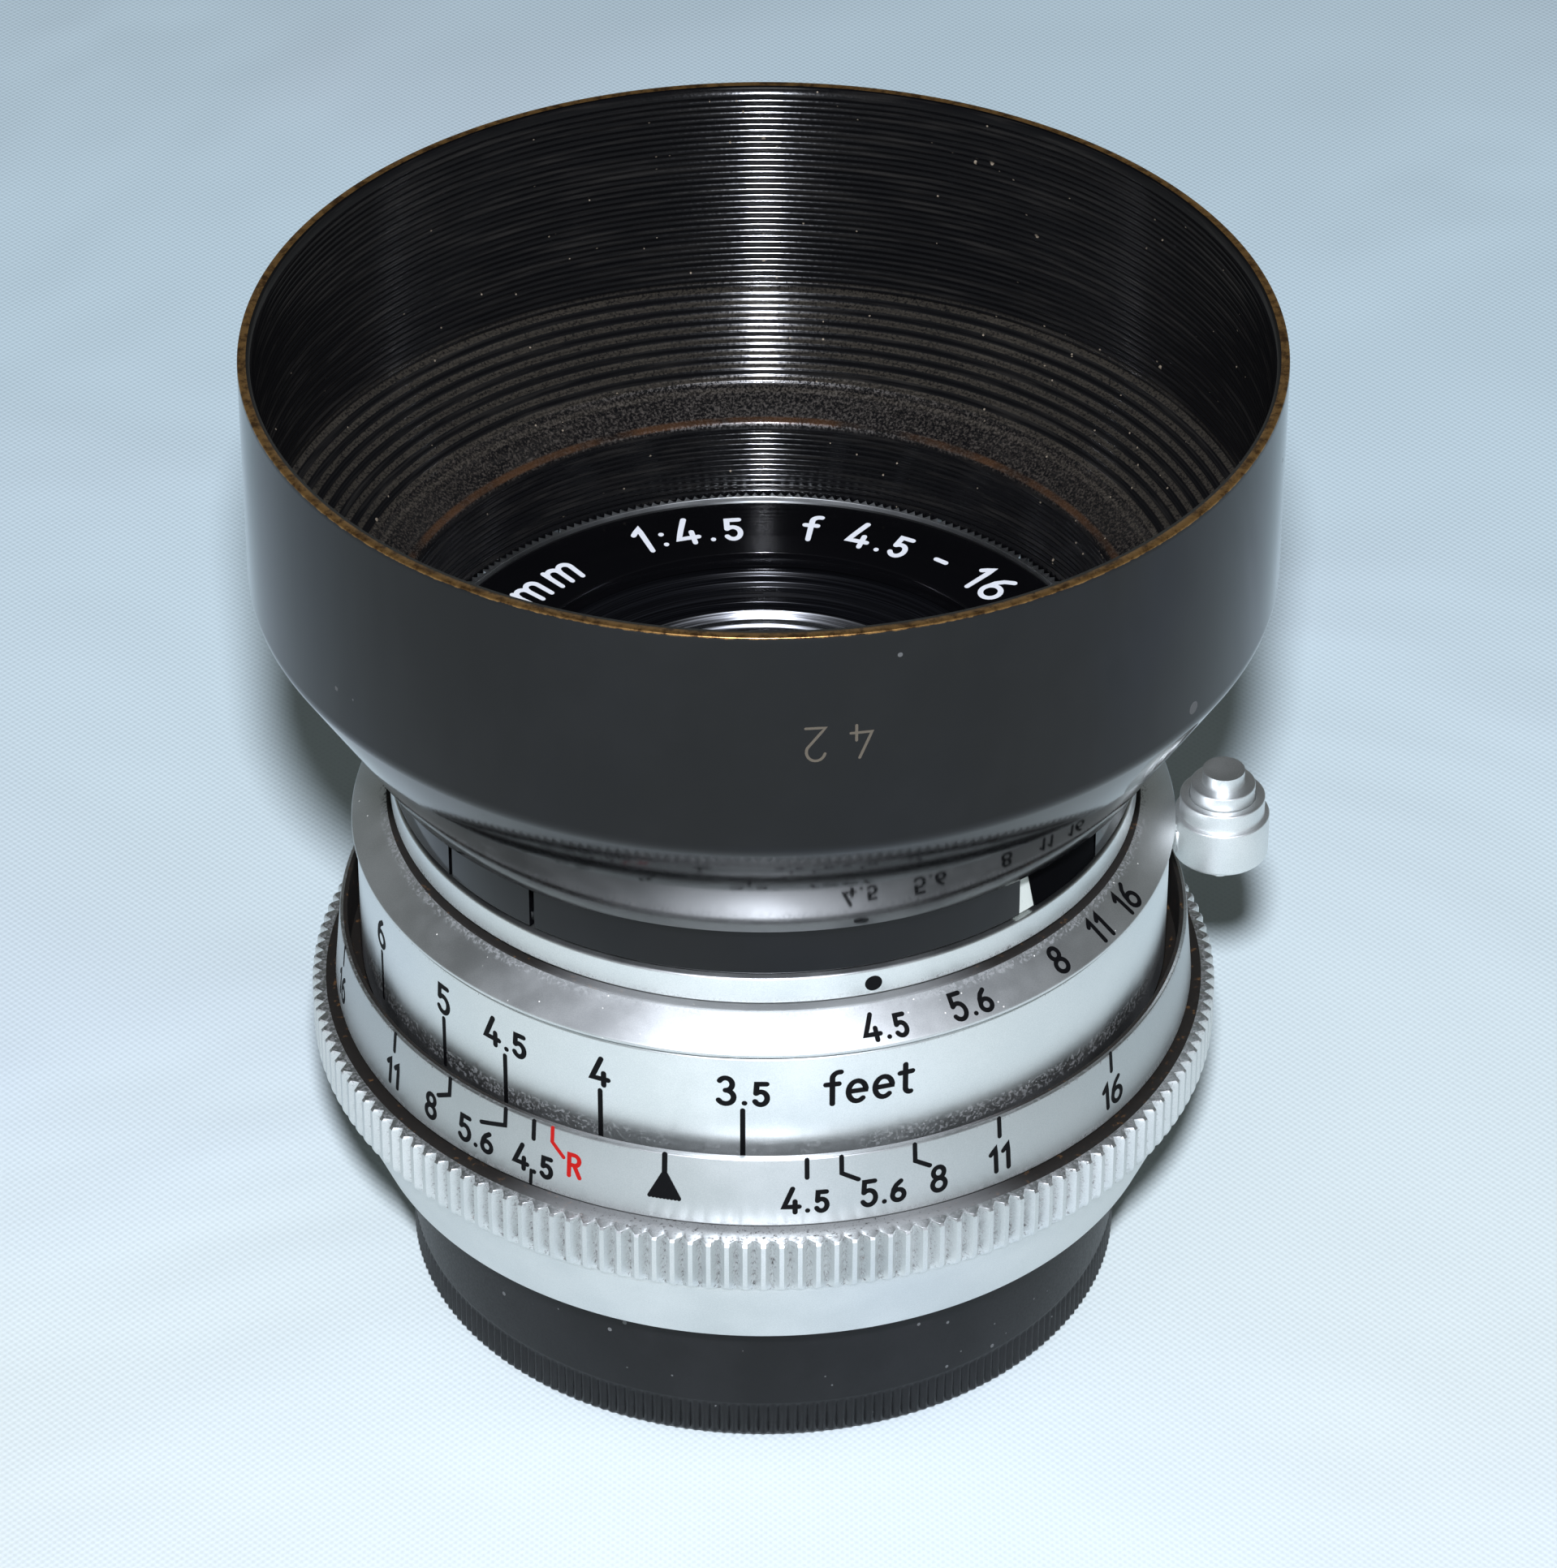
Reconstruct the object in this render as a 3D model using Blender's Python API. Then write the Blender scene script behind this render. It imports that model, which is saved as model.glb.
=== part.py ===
"""A 35 mm f/4.5 screw-mount camera lens with a push-on hood on its front and a cap on its rear thread.

Named sizes are in millimetres and every object is built in metres. +Z is the optical axis, toward the
subject, and the origin is the centre of the rear cap's flat base. Azimuths are in degrees, counted from
the -Y side (the side that carries the index) toward +X. The lens is drawn focused a little short of four
feet, with the aperture wide open.
"""
import math

import bmesh
import bpy
from mathutils import Matrix, Vector

MM = 0.001
GAP = 0.3                    # between pieces that are screwed or pressed together
OUTER_STEPS = 48             # sides of a turned piece that can be seen
INNER_STEPS = 36             # sides of a turned piece inside the barrel
SMALL_STEPS = 16             # sides of screws, pins and the knob

# focusing
HELICOID_PITCH = 2.95        # travel of the head for one turn of the focus ring
TURN_TO_INFINITY = 140.0     # degrees from the drawn position to the infinity catch
TURN_TO_NEAREST = 10.0       # degrees the other way, to the nearest distance
HEAD_DROP = HELICOID_PITCH * TURN_TO_INFINITY / 360
STOP_AZIMUTH = 180.0         # the lug that ends the focus ring's turn
STOP_HALF = 3.0
STOP_TOP = 22.3
KEY_AZIMUTH = 180.0          # the key that keeps the cam sleeve from turning

# heights above the base of the cap
CAP_FLOOR = 1.6
CAP_TOP = 9.7
FLANGE_REAR = 10.0           # the register face of the lens mount
THREAD_TOP = 12.6
KNURL_FOOT = 15.4
KNURL_TOP = 19.2
SCALE_FOOT = 19.5
SCALE_LEDGE = 20.4
SCALE_TOP = 24.0
FOCUS_FOOT = 21.8
FOCUS_TOP = 30.2
BEVEL_FOOT = 30.5
BEVEL_TOP = 32.2
BAND_FOOT = 32.6
BAND_TOP = 34.3
NAME_FOOT = 37.4
SEAT_TOP = 38.4              # the top of the seat for push-on accessories
NAME_TOP = 38.8
RIM_TOP = 39.0
LEDGE_TOP = 38.6             # where the hood leaves its collar and flares out
FLARE_TOP = 48.5
HOOD_TOP = 62.46

# radii
THREAD_RADIUS = 19.5         # 39 mm mount thread
THREAD_BORE = 18.2
CAP_RADIUS = 21.3
MOUNT_BORE = 22.9            # the pocket that holds the helicoids
KNURL_RADIUS = 26.85
SCALE_RADIUS = 25.45
SCALE_BORE = 24.6
FOCUS_RADIUS = 23.85
FOCUS_BORE = 22.9
HELICOID_RADIUS = 21.3       # the bore of the outer helicoid
HEAD_BORE = 19.6             # the bore of the focus ring's web and of the aperture scale
BEVEL_RADIUS = 24.15
BEVEL_TOP_RADIUS = 22.0
BAND_RADIUS = 21.8
BARREL_RADIUS = 16.6
BARREL_BORE = 15.6
CELL_RADIUS = 15.3           # what drops into the barrel with a gap round it
NAME_RADIUS = 19.9
NAME_BORE = 15.0
FRONT_RADIUS = 20.85         # seat for 42 mm push-on accessories
COLLAR_RADIUS = 21.73
HOOD_RADIUS = 29.4
HOOD_WALL = 0.75

# the springy tongues of the hood's collar, each between two slits
TONGUE_AZIMUTHS = (-45.75, 51.0, 141.0, -135.0)
TONGUE_HALF = 9.0

# the focusing knob and its infinity lock
KNOB_AZIMUTH = 90.0
KNOB_REACH = 27.2            # knob axis from the optical axis
KNOB_RADIUS = 2.8
KNOB_FOOT = 27.4
KNOB_TOP = 31.2
BUTTON_RADIUS = 1.8
BUTTON_FOOT = 30.8
BUTTON_TOP = 33.2
PIN_RADIUS = 0.7
PIN_FOOT = 25.9
SPRING_FOOT = 28.85
SPRING_TOP = 30.55

# the iris
APERTURE_TURN = 47.1         # degrees from f/4.5 to f/16
DRIVE_AZIMUTH = 200.0        # where the drive pin stands, wide open
DRIVE_HEIGHT = 33.9
DRIVE_RADIUS = 0.6
BLADE_COUNT = 6
BLADE_THICKNESS = 0.15
BLADE_SPACING = 0.3
BLADE_FOOT = 21.9
BLADE_PIVOT_RADIUS = 7.0
BLADE_INNER = 4.2
BLADE_OUTER = 7.75
BLADE_ARC = 125.0


def clear_scene():
    for item in list(bpy.data.objects):
        bpy.data.objects.remove(item, do_unlink=True)


def material(name, color, roughness, metallic=0.0, alpha=1.0):
    made = bpy.data.materials.new(name)
    made.use_nodes = True
    shader = made.node_tree.nodes["Principled BSDF"]
    shader.inputs["Base Color"].default_value = (*color, 1.0)
    shader.inputs["Roughness"].default_value = roughness
    shader.inputs["Metallic"].default_value = metallic
    shader.inputs["Alpha"].default_value = alpha
    made.diffuse_color = (*color, alpha)
    return made


def materials():
    return {
        "satin_chrome": material("satin_chrome", (0.72, 0.75, 0.77), 0.32, 1.0),
        "black_enamel": material("black_enamel", (0.018, 0.018, 0.02), 0.12),
        "black_anodised": material("black_anodised", (0.02, 0.02, 0.021), 0.45, 0.3),
        "cap_plastic": material("cap_plastic", (0.022, 0.022, 0.023), 0.55),
        "brass": material("brass", (0.62, 0.45, 0.2), 0.35, 1.0),
        "steel": material("steel", (0.5, 0.5, 0.5), 0.35, 1.0),
        "coated_glass": material("coated_glass", (0.75, 0.82, 0.95), 0.03, 0.0, 0.35),
    }


def at(azimuth, radius, height=0.0):
    """The place, in metres, at an azimuth, a radius and a height given in degrees and millimetres."""
    turn = math.radians(azimuth)
    return Vector((radius * math.sin(turn), -radius * math.cos(turn), height)) * MM


def facing(azimuth):
    """A frame whose X points outward at the azimuth and whose Z stays up."""
    return Matrix.Rotation(math.radians(azimuth - 90), 4, "Z")


def axis_empty(name, place=(0.0, 0.0, 0.0)):
    empty = bpy.data.objects.new(name, None)
    empty.empty_display_size = 0.005
    empty.location = place
    bpy.context.scene.collection.objects.link(empty)
    return empty


def finish_mesh(bm, name, finish, parent, place=(0.0, 0.0, 0.0), azimuth=None):
    """Turn a bmesh into an object whose origin is at place, under the parent empty."""
    bmesh.ops.recalc_face_normals(bm, faces=bm.faces)
    mesh = bpy.data.meshes.new(name)
    bm.to_mesh(mesh)
    bm.free()
    mesh.shade_smooth()
    mesh.set_sharp_from_angle(angle=math.radians(30))
    made = bpy.data.objects.new(name, mesh)
    if finish is not None:
        mesh.materials.append(finish)
    bpy.context.scene.collection.objects.link(made)
    if parent is not None:
        made.parent = parent
        place = Vector(place) - parent.location
    made.location = place
    if azimuth is not None:
        made.rotation_euler = facing(azimuth).to_euler()
    return made


def turned_bmesh(outline, steps):
    """Spin an outline of (radius, height) points; one that starts and ends on the axis stays open there."""
    bm = bmesh.new()
    verts = [bm.verts.new((radius * MM, 0.0, height * MM)) for radius, height in outline]
    edges = [bm.edges.new(pair) for pair in zip(verts, verts[1:])]
    if outline[0][0] > 0 or outline[-1][0] > 0:
        edges.append(bm.edges.new((verts[-1], verts[0])))
    bmesh.ops.spin(bm, geom=verts + edges, axis=(0, 0, 1), cent=(0, 0, 0), angle=math.tau,
                   steps=steps, use_merge=True)
    bmesh.ops.remove_doubles(bm, verts=bm.verts, dist=1e-7)
    return bm


def turned(name, outline, finish, parent, steps=OUTER_STEPS, place=(0.0, 0.0, 0.0)):
    return finish_mesh(turned_bmesh(outline, steps), name, finish, parent, place)


def tube(name, inner, outer, foot, top, finish, parent, steps=INNER_STEPS):
    outline = [(outer, top), (outer, foot), (inner, foot), (inner, top)]
    return turned(name, outline, finish, parent, steps)


def box_bmesh(x, y, z):
    """A box from three (low, high) pairs in millimetres."""
    bm = bmesh.new()
    bmesh.ops.create_cube(bm, size=1.0)
    for vert in bm.verts:
        for axis, (low, high) in enumerate((x, y, z)):
            vert.co[axis] = (low + high) / 2 * MM + vert.co[axis] * (high - low) * MM
    return bm


def rod_bmesh(radius, foot, top, steps=SMALL_STEPS):
    return turned_bmesh([(0, top), (radius, top), (radius, foot), (0, foot)], steps)


def arc_bmesh(inner, outer, foot, top, start, end, steps):
    """A block bent round the optical axis, between two azimuths."""
    bm = bmesh.new()
    verts = []
    for radius in (inner, outer):
        for step in range(steps + 1):
            azimuth = start + (end - start) * step / steps
            verts.append(bm.verts.new(at(azimuth, radius, foot)))
    face = bm.faces.new(verts[:steps + 1] + verts[:steps:-1])
    grown = bmesh.ops.extrude_face_region(bm, geom=[face])
    lifted = [item for item in grown["geom"] if isinstance(item, bmesh.types.BMVert)]
    bmesh.ops.translate(bm, verts=lifted, vec=(0, 0, (top - foot) * MM))
    return bm


def combine(target, tool, operation):
    """Cut a tool out of a target, or join it on, with a Boolean modifier."""
    tool.hide_render = True
    tool.display_type = "WIRE"
    modifier = target.modifiers.new(tool.name, "BOOLEAN")
    modifier.operation = operation
    modifier.object = tool
    modifier.solver = "EXACT"


def cut(target, name, bm, parent, place=(0.0, 0.0, 0.0), azimuth=None):
    combine(target, finish_mesh(bm, name, None, parent, place, azimuth), "DIFFERENCE")


def join(target, name, bm, parent, place=(0.0, 0.0, 0.0), azimuth=None):
    combine(target, finish_mesh(bm, name, None, parent, place, azimuth), "UNION")


def screw_outline(head_radius, head_top, head_foot, shank_radius, shank_foot):
    return [(0, head_top), (head_radius, head_top), (head_radius, head_foot),
            (shank_radius, head_foot), (shank_radius, shank_foot), (0, shank_foot)]


def lens_outline(radius, edge_foot, edge_top, crown, hollow, steps=5):
    """A glass element: the front bulges by crown above its edge, the back is hollowed by hollow."""
    def dome(height, rise, order):
        sphere = (radius ** 2 + rise ** 2) / (2 * abs(rise))
        lift = math.copysign(1, rise)
        for step in order:
            out = radius * step / steps
            sag = math.sqrt(sphere ** 2 - out ** 2) - (sphere - abs(rise))
            yield (out, height + lift * sag)
    front = list(dome(edge_top, crown, range(steps + 1)))
    back = list(dome(edge_foot, hollow, range(steps, -1, -1)))
    return front + back


def build_cap(finish):
    chamfer = 0.4
    bore = THREAD_RADIUS + GAP
    outline = [(0, 0), (CAP_RADIUS - chamfer, 0), (CAP_RADIUS, chamfer), (CAP_RADIUS, CAP_TOP),
               (bore, CAP_TOP), (bore, CAP_FLOOR), (0, CAP_FLOOR)]
    turned("rear_cap", outline, finish["cap_plastic"], None)


def build_mount(finish, mount):
    """The part that screws into the camera and stays still while the head turns."""
    chrome, brass, steel = finish["satin_chrome"], finish["brass"], finish["steel"]
    thread_foot, slot_half, slot_foot = 5.0, 1.4, 9.6
    thread = tube("mount_thread", THREAD_BORE, THREAD_RADIUS, thread_foot, THREAD_TOP, brass, mount)
    slot = box_bmesh((THREAD_BORE - 1, THREAD_RADIUS + 1), (-slot_half, slot_half),
                     (slot_foot, THREAD_TOP + 1))
    cut(thread, "key_slot", slot, mount, azimuth=KEY_AZIMUTH)

    foot_radius, waist_radius = 23.8, 26.0
    chamfer, bottom_chamfer = 0.3, 0.2
    seat, pocket = THREAD_RADIUS + GAP, THREAD_TOP + 2 * GAP
    outline = [(waist_radius, KNURL_TOP), (KNURL_RADIUS, KNURL_TOP - chamfer),
               (KNURL_RADIUS, KNURL_FOOT + bottom_chamfer), (waist_radius, KNURL_FOOT - bottom_chamfer),
               (foot_radius, FLANGE_REAR), (seat, FLANGE_REAR), (seat, pocket), (MOUNT_BORE, pocket),
               (MOUNT_BORE, KNURL_TOP)]
    turned("mount_ring", outline, chrome, mount)

    helicoid_top = SCALE_TOP - 0.4
    tube("helicoid_outer", HELICOID_RADIUS, MOUNT_BORE - GAP, pocket + GAP, helicoid_top, brass, mount)

    slope = 0.4
    outline = [(SCALE_RADIUS - slope, SCALE_TOP), (SCALE_RADIUS, SCALE_FOOT), (MOUNT_BORE, SCALE_FOOT),
               (MOUNT_BORE, SCALE_LEDGE), (SCALE_BORE, SCALE_LEDGE), (SCALE_BORE, SCALE_TOP)]
    turned("dof_scale_ring", outline, chrome, mount)

    lug_inner, lug_outer = FOCUS_BORE + 0.2, FOCUS_RADIUS + 0.35
    lug = arc_bmesh(lug_inner, lug_outer, SCALE_LEDGE + GAP, STOP_TOP, STOP_AZIMUTH - STOP_HALF,
                    STOP_AZIMUTH + STOP_HALF, 2)
    finish_mesh(lug, "focus_stop", steel, mount)
    build_infinity_catch(chrome, steel, mount)


def build_infinity_catch(chrome, steel, mount):
    """A block on the scale ring whose raised wall stops the lock pin where the lens is at infinity."""
    azimuth = KNOB_AZIMUTH + TURN_TO_INFINITY
    inside, face, reach = SCALE_RADIUS + 0.35, SCALE_RADIUS + 1.35, 28.4
    foot, top, wall_foot = SCALE_FOOT + 0.1, 23.2, 21.5
    left, right = -2.6, 3.4
    wall_left = PIN_RADIUS + GAP
    block = box_bmesh((inside, face), (left, right), (foot, top))
    catch = finish_mesh(block, "infinity_catch", chrome, mount, azimuth=azimuth)
    wall = box_bmesh((inside, reach), (wall_left, right), (wall_foot, PIN_FOOT))
    join(catch, "catch_wall", wall, mount, azimuth=azimuth)

    across, height = -0.9, 21.3
    shank_radius, head_radius, head_height, tip = 0.35, 0.9, 0.5, 0.1
    middle = at(azimuth, inside, height) + facing(azimuth) @ Vector((0, across, 0)) * MM
    outward = Matrix.Rotation(math.radians(90), 4, "Y")
    hole = rod_bmesh(shank_radius + GAP, -1, face - inside + 2)
    bmesh.ops.transform(hole, matrix=outward, verts=hole.verts)
    cut(catch, "catch_hole", hole, mount, middle, azimuth)
    head_foot = face - inside + GAP
    outline = screw_outline(head_radius, head_foot + head_height, head_foot, shank_radius, tip)
    screw = turned_bmesh(outline, SMALL_STEPS)
    bmesh.ops.transform(screw, matrix=outward, verts=screw.verts)
    finish_mesh(screw, "catch_screw", steel, mount, middle, azimuth)


def build_cam_sleeve(finish, sleeve):
    """The sleeve that works the camera's rangefinder: it follows the head in and out without turning."""
    outer, wall, foot, top = 17.85, 0.9, 4.2, 24.0
    tube("cam_sleeve", outer - wall, outer, foot, top, finish["brass"], sleeve)
    key_inner, key_outer, key_half, key_foot, key_top = outer + GAP, THREAD_RADIUS - GAP, 1.1, 11.0, 13.1
    key = box_bmesh((key_inner, key_outer), (-key_half, key_half), (key_foot, key_top))
    finish_mesh(key, "cam_key", finish["steel"], sleeve, azimuth=KEY_AZIMUTH)


def build_head(finish, head):
    """Everything that turns with the focus ring."""
    tube("helicoid_inner", HEAD_BORE - 0.2, HELICOID_RADIUS - GAP, 14.7, 28.0, finish["brass"], head)
    ring = build_focus_ring(finish, head)
    bevel_outline = [(BEVEL_TOP_RADIUS, BEVEL_TOP), (BEVEL_RADIUS, BEVEL_FOOT), (HEAD_BORE, BEVEL_FOOT),
                     (HEAD_BORE, BEVEL_TOP)]
    bevel = turned("aperture_scale_ring", bevel_outline, finish["satin_chrome"], head)
    build_head_screws(finish, head, ring, bevel)
    build_barrel(finish, head)
    build_name_ring(finish, head)
    build_front_group(finish, head)
    build_rear_group(finish, head)
    tube("iris_cage", 5.6, CELL_RADIUS, 20.6, 21.6, finish["black_anodised"], head)
    build_lever(finish, head)


def build_focus_ring(finish, head):
    """The ring with the distance scale; a relief round its foot clears the lug that ends its turn."""
    shoulder, web_foot = 25.2, 28.3
    outline = [(FOCUS_RADIUS, FOCUS_TOP), (FOCUS_RADIUS, FOCUS_FOOT), (FOCUS_BORE, FOCUS_FOOT),
               (FOCUS_BORE, shoulder), (HELICOID_RADIUS, shoulder), (HELICOID_RADIUS, web_foot),
               (HEAD_BORE, web_foot), (HEAD_BORE, FOCUS_TOP)]
    ring = turned("focus_ring", outline, finish["satin_chrome"], head)
    spare, margin = 1.0, 0.5
    start = STOP_AZIMUTH - STOP_HALF - TURN_TO_INFINITY - spare
    end = STOP_AZIMUTH + STOP_HALF + TURN_TO_NEAREST + spare
    relief_top = STOP_TOP + HEAD_DROP + GAP
    relief = arc_bmesh(FOCUS_BORE - margin, FOCUS_RADIUS + margin, FOCUS_FOOT - margin, relief_top,
                       start, end, 24)
    cut(ring, "stop_relief", relief, head)
    return ring


def build_head_screws(finish, head, ring, bevel):
    """Three sunk screws that hold the aperture scale on the focus ring."""
    reach, head_radius, head_height, head_foot = 20.75, 0.7, 0.6, 31.35
    shank_radius, shank_foot = 0.35, 28.9
    hole, sink = shank_radius + GAP, head_radius + GAP
    for number, azimuth in enumerate((40, 160, 280), start=1):
        place = at(azimuth, reach)
        cut(ring, f"ring_hole_{number}", rod_bmesh(hole, shank_foot - GAP, FOCUS_TOP + 1), head, place)
        cut(bevel, f"bevel_hole_{number}", rod_bmesh(hole, BEVEL_FOOT - 1, BEVEL_TOP), head, place)
        cut(bevel, f"bevel_sink_{number}", rod_bmesh(sink, head_foot - GAP, BEVEL_TOP + 1), head, place)
        outline = screw_outline(head_radius, head_foot + head_height, head_foot, shank_radius, shank_foot)
        turned(f"head_screw_{number}", outline, finish["steel"], head, SMALL_STEPS, place)


def build_barrel(finish, head):
    """The tube that holds both glass cells and the iris; its flange is clamped under the focus ring."""
    foot, top = 12.5, 37.1
    flange_radius, flange_foot, flange_top = 19.1, 25.6, 27.3
    outline = [(BARREL_RADIUS, top), (BARREL_RADIUS, flange_top), (flange_radius, flange_top),
               (flange_radius, flange_foot), (BARREL_RADIUS, flange_foot), (BARREL_RADIUS, foot),
               (BARREL_BORE, foot), (BARREL_BORE, top)]
    barrel = turned("lens_barrel", outline, finish["black_anodised"], head, INNER_STEPS)
    margin, slot_half, spare = 0.6, DRIVE_RADIUS + GAP, 4.0
    start, end = DRIVE_AZIMUTH - spare, DRIVE_AZIMUTH + APERTURE_TURN + spare
    slot = arc_bmesh(BARREL_BORE - margin, BARREL_RADIUS + margin, DRIVE_HEIGHT - slot_half,
                     DRIVE_HEIGHT + slot_half, start, end, 10)
    cut(barrel, "drive_slot", slot, head)


def build_name_ring(finish, head):
    """The lettered ring, dished toward the glass, that screws over the barrel's front."""
    skirt_outer, skirt_inner, skirt_foot, dish = 17.7, BARREL_RADIUS + GAP, 35.4, 0.4
    outline = [(NAME_RADIUS, NAME_TOP), (NAME_RADIUS, NAME_FOOT), (skirt_outer, NAME_FOOT),
               (skirt_outer, skirt_foot), (skirt_inner, skirt_foot), (skirt_inner, NAME_FOOT),
               (NAME_BORE, NAME_FOOT), (NAME_BORE, NAME_TOP - dish)]
    turned("name_ring", outline, finish["black_enamel"], head)


def build_front_group(finish, head):
    """The front cell steps down toward the iris and holds two elements, the front one under a retainer."""
    black, glass = finish["black_anodised"], finish["coated_glass"]
    rim_top, rim_foot, throat_top, foot = 37.0, 35.0, 36.2, 25.7
    seats = ((12.3, 31.6), (10.2, 29.2), (7.9, 26.3))
    wall_outer, funnel_outer, funnel_inner, throat = 13.9, 14.7, 13.3, 6.5
    outline = [(CELL_RADIUS, rim_top), (CELL_RADIUS, rim_foot), (wall_outer, rim_foot), (wall_outer, foot),
               (throat, foot), (throat, seats[2][1])]
    for inner, outer in zip(seats[:0:-1], seats[1::-1]):
        outline += [inner, (inner[0], outer[1])]
    outline += [seats[0], (seats[0][0], throat_top), (funnel_inner, throat_top), (funnel_outer, rim_top)]
    turned("front_cell", outline, black, head, INNER_STEPS)

    front_radius, middle_radius = seats[0][0] - GAP, seats[2][0] - GAP
    turned("front_element", lens_outline(front_radius, 31.9, 33.9, 2.0, 0.8), glass, head, INNER_STEPS)
    turned("middle_element", lens_outline(middle_radius, 26.6, 28.6, -0.6, 0.5), glass, head, INNER_STEPS)
    ring_inner, ring_foot, ring_top, bevel = 10.9, 34.6, 35.6, 0.3
    outline = [(front_radius, ring_top), (front_radius, ring_foot), (ring_inner, ring_foot),
               (ring_inner, ring_top), (ring_inner + 0.5, ring_top + bevel)]
    turned("front_retainer", outline, black, head, INNER_STEPS)


def build_rear_group(finish, head):
    """The rear cell screws in from behind and holds one element under a retainer."""
    black, glass = finish["black_anodised"], finish["coated_glass"]
    foot, flange_top, top, lip_foot = 13.6, 15.6, 20.3, 19.7
    wall_outer, wall_inner, lip_inner = 9.6, 8.3, 7.2
    outline = [(wall_outer, top), (wall_outer, flange_top), (CELL_RADIUS, flange_top), (CELL_RADIUS, foot),
               (wall_inner, foot), (wall_inner, lip_foot), (lip_inner, lip_foot), (lip_inner, top)]
    turned("rear_cell", outline, black, head, INNER_STEPS)
    element_radius = wall_inner - GAP
    turned("rear_element", lens_outline(element_radius, 16.2, 18.3, 1.0, -0.9), glass, head, INNER_STEPS)
    tube("rear_retainer", element_radius - 1, element_radius, 13.9, 15.0, black, head)


def build_lever(finish, head):
    """The round knob on the focus ring, with the well for the button that frees the infinity lock."""
    place = at(KNOB_AZIMUTH, KNOB_REACH)
    drum_top, terrace_radius, well_floor = 30.2, 2.5, 28.6
    bore, well = PIN_RADIUS + GAP, BUTTON_RADIUS + GAP
    outline = [(terrace_radius, KNOB_TOP), (terrace_radius, drum_top), (KNOB_RADIUS, drum_top),
               (KNOB_RADIUS, KNOB_FOOT), (bore, KNOB_FOOT), (bore, well_floor), (well, well_floor),
               (well, KNOB_TOP)]
    boss = turned("lever_boss", outline, finish["satin_chrome"], head, 24, place)
    arm_start, arm_end, arm_half, inset = FOCUS_RADIUS + GAP - KNOB_REACH, -2.2, 1.5, 0.3
    arm = box_bmesh((arm_start, arm_end), (-arm_half, arm_half), (KNOB_FOOT + inset, drum_top - inset))
    join(boss, "lever_arm", arm, head, place)


def build_lock(finish, lock):
    place = at(KNOB_AZIMUTH, KNOB_REACH)
    tip_radius, step = 1.15, 32.2
    outline = [(0, BUTTON_TOP), (tip_radius, BUTTON_TOP), (tip_radius, step), (BUTTON_RADIUS, step),
               (BUTTON_RADIUS, BUTTON_FOOT), (PIN_RADIUS, BUTTON_FOOT), (PIN_RADIUS, PIN_FOOT),
               (0, PIN_FOOT)]
    turned("lock_button", outline, finish["satin_chrome"], lock, 24, place)
    build_lock_spring(finish["steel"], lock, place)


def build_lock_spring(steel, lock, place):
    coil_radius, wire_radius = 1.35, 0.13
    turns, points = 3.5, 14
    count = int(turns * points)
    coil = bpy.data.curves.new("lock_spring", "CURVE")
    coil.dimensions = "3D"
    coil.bevel_depth = wire_radius * MM
    coil.bevel_resolution = 1
    coil.use_fill_caps = True
    spline = coil.splines.new("POLY")
    spline.points.add(count)
    rise = SPRING_TOP - SPRING_FOOT - 2 * wire_radius
    for number, point in enumerate(spline.points):
        turn = math.tau * number / points
        height = SPRING_FOOT + wire_radius + rise * number / count
        point.co = (coil_radius * math.cos(turn) * MM, coil_radius * math.sin(turn) * MM, height * MM, 1)
    coil.materials.append(steel)
    spring = bpy.data.objects.new("lock_spring", coil)
    spring.parent = lock
    spring.location = place - lock.location
    bpy.context.scene.collection.objects.link(spring)


def build_aperture(finish, aperture):
    """The ring that is turned to set the iris, and what it drives."""
    rim_radius, rim_bore, bore, step = 20.5, 20.2, 19.3, 36.4
    outline = [(rim_radius, RIM_TOP), (rim_radius, SEAT_TOP), (FRONT_RADIUS, SEAT_TOP),
               (FRONT_RADIUS, BAND_TOP), (BAND_RADIUS, BAND_TOP), (BAND_RADIUS, BAND_FOOT),
               (bore, BAND_FOOT), (bore, step), (rim_bore, step), (rim_bore, RIM_TOP)]
    turned("aperture_ring", outline, finish["satin_chrome"], aperture)

    wall_inner, floor_inner, foot, floor_top, top = 14.25, 8.5, 24.5, 25.3, 34.5
    outline = [(CELL_RADIUS, top), (CELL_RADIUS, foot), (floor_inner, foot), (floor_inner, floor_top),
               (wall_inner, floor_top), (wall_inner, top)]
    turned("iris_drive_ring", outline, finish["brass"], aperture, INNER_STEPS)
    pin_start, pin_end = 15.65, 18.9
    pin = rod_bmesh(DRIVE_RADIUS, pin_start, pin_end, 12)
    bmesh.ops.transform(pin, matrix=Matrix.Rotation(math.radians(90), 4, "Y"), verts=pin.verts)
    finish_mesh(pin, "drive_pin", finish["steel"], aperture, (0, 0, DRIVE_HEIGHT * MM), DRIVE_AZIMUTH)


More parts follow.
